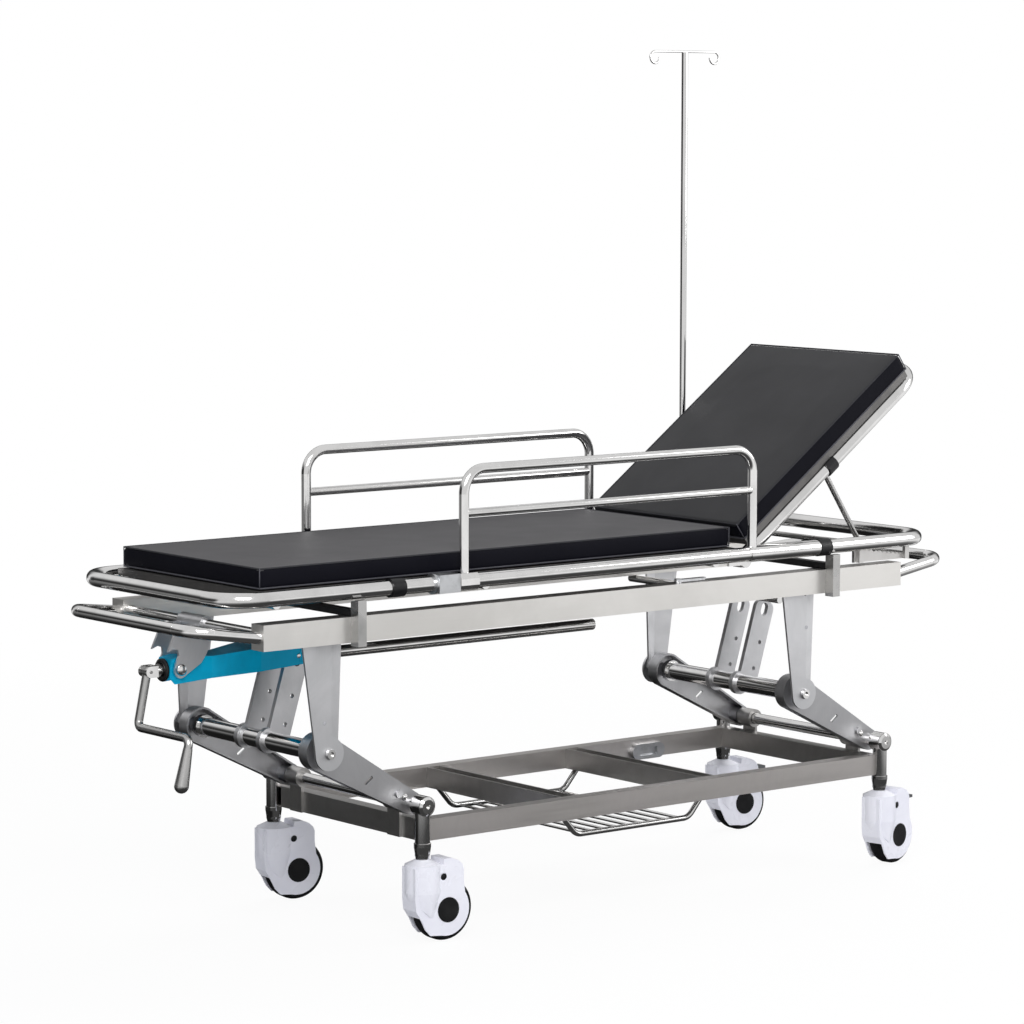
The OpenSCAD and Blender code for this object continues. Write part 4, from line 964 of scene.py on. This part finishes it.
cap_top = housing_high.z + cap_overlap
cap_foot = shaft.z - cap_below_shaft
rear_edge = [vertex.co for vertex in nodes["screw_housing"].data.vertices
             if vertex.co.x > housing_high.x - rear_zone]
cap_half = max(abs(co.y) for co in rear_edge) + cap_overlap
bm = bmesh.new()
bmesh.ops.create_cube(bm, size=1.0)
bmesh.ops.scale(bm, vec=(cap_thickness, 2 * cap_half, cap_top - cap_foot), verts=bm.verts)
bmesh.ops.translate(bm, vec=(housing_high.x + cap_stands_out, 0, (cap_top + cap_foot) / 2), verts=bm.verts)
rear_face = max(bm.faces, key=lambda face: face.calc_center_median().x)
bmesh.ops.inset_region(bm, faces=[rear_face], thickness=cap_rim, depth=-cap_hollow)
bmesh.ops.bevel(bm, geom=bm.edges[:], offset=cap_softening, segments=2, profile=0.5,
                affect="EDGES", material=-1)

# The collar's outline: a bored disc with a bevel inside its mouth and another round its rim
bore, mouth, face_rim, rim = 0.0137, 0.0145, 0.0205, 0.0225
collar_back, bore_front, rim_front, collar_front = 0.0005, 0.0055, 0.0045, 0.0065
collar = [(bore, collar_back), (bore, bore_front), (mouth, collar_front), (face_rim, collar_front),
          (rim, rim_front), (rim, collar_back), (bore, collar_back)]
turned(bm, collar, Vector((housing_low.x, 0, shaft.z)), Vector((-1, 0, 0)), steps=40)
drive_caps = fitting("drive_caps", bm, black_plastic, "screw_strut")
print("drive caps faces", len(drive_caps.data.polygons))


# %% [markdown]
# ## Where the points show
#
# For each image point, this measures where the thing shows in the picture, by the finished vertices
# that the camera can see.

# %% What shows
bpy.context.view_layer.update()
shown = [thing for thing in bpy.context.scene.objects
         if thing.type == "MESH" and thing is not floor and not thing.hide_render]
everything = carrier_tree(shown)
eye = camera.matrix_world.translation
# A ray towards the camera starts just off the surface, so that it doesn't meet its own face
off_surface = 0.0008
print("pieces that show", len(shown))


def seen_from_camera(co):
    """Whether nothing stands between a point and the camera."""
    way = (eye - co).normalized()
    return everything.ray_cast(co + way * off_surface, way)[0] is None


def furthest(pieces, direction, keep=lambda co: True):
    """Image place of the visible vertex that lies furthest in a direction of the picture."""
    found = []
    for co in surface_points(pieces):
        if keep(co):
            x, y = image_place(co)
            found.append((x * direction[0] + y * direction[1], x, y, co))
    found.sort(key=lambda entry: -entry[0])
    for _, x, y, co in found:
        if seen_from_camera(co):
            return x, y
    return None


def middle(pieces, keep=lambda co: True):
    """Middle of what shows of the pieces."""
    spots = [image_place(co) for co in surface_points(pieces) if keep(co) and seen_from_camera(co)]
    if not spots:
        return None
    return ((min(x for x, _ in spots) + max(x for x, _ in spots)) / 2,
            (min(y for _, y in spots) + max(y for _, y in spots)) / 2)


# %% Which part of a piece to measure
face_depth = 0.004
rail_face_depth = 0.001


def this_side(co):
    """On the camera's side of the trolley."""
    return co.y < 0


def near_rail_face(co):
    """On the outer face of the near chassis rail."""
    return co.y < rail_low.y + rail_face_depth


def seat_top(co):
    """On the seat cover's top panel."""
    return co.z > seat_box[1].z - face_depth


def seat_near_side(co):
    """On the seat's near long side."""
    return co.y < seat_box[0].y + face_depth


def back_face(co):
    """On the panel of the backrest that the patient leans against."""
    return (raise_back.inverted() @ co).z > back_box[1].z - face_depth


def around(spot, radius):
    """Chooses what lies near a spot, on the camera's side."""
    return lambda co: this_side(co) and (co - spot).length < radius


# %% Points measured
hub = Vector(joints["wheel_spin_lf"]["pos_m"])
hub_radius = 0.036
hinge_bolt_reach = 0.015
rear_bolt_reach = 0.01
seat_shell, back_shell = [[bpy.data.objects[name + "_cover"]] for name in ("seat", "backrest")]
rails = [nodes["chassis_rails"], nodes["rail_end_caps"]]
measured = {
    "left_edge": furthest(shown, (-1, 0)), "right_edge": furthest(shown, (1, 0)),
    "top_edge": furthest(shown, (0, -1)), "bottom_edge": furthest(shown, (0, 1)),
    "rail_foot_end": furthest(rails, (-1, -0.5), near_rail_face),
    "rail_head_end": furthest(rails, (1, -0.5), near_rail_face),
    "seat_near_corner": furthest(seat_shell, (0, 1), seat_top),
    "backrest_far_corner": furthest(back_shell, (-0.3, -1), back_face),
    "backrest_near_corner": furthest(back_shell, (1, -1), back_face),
    "near_foot_hub": middle([nodes["castor_wheel_lf"]], around(hub, hub_radius)),
    "castor_dot": middle([castor_plugs["lf"]]),
    "arm_bolt_foot": middle([arm_bolts["foot"]], this_side),
    "arm_bolt_head": middle([arm_bolts["head"]], this_side),
    "bracket_bolt": middle([drive_bolts], around(hinge_spot, hinge_bolt_reach)),
    "housing_bolt": middle([drive_bolts], around(rear_spot, rear_bolt_reach)),
}
for label, plug in leg_plugs.items():
    measured[label] = middle([plug], this_side)
# The seam's cord is measured where its near side passes its point's x
seam = [bpy.data.objects["seat_bottom_cord"]]
ends = [furthest(seam, (way, 0), seat_near_side) for way in (-1, 1)]
if all(ends):
    (x0, y0), (x1, y1) = ends
    seam_x = fitting_points["seat_seam"][0]
    measured["seat_seam"] = (seam_x, y0 + (y1 - y0) * (seam_x - x0) / (x1 - x0))

for name, (x, y) in {**corners_seen, **fitting_points}.items():
    spot = measured.get(name)
for name, value in edges.items():
    spot = measured[name]

# %% Last update
bpy.context.view_layer.update()
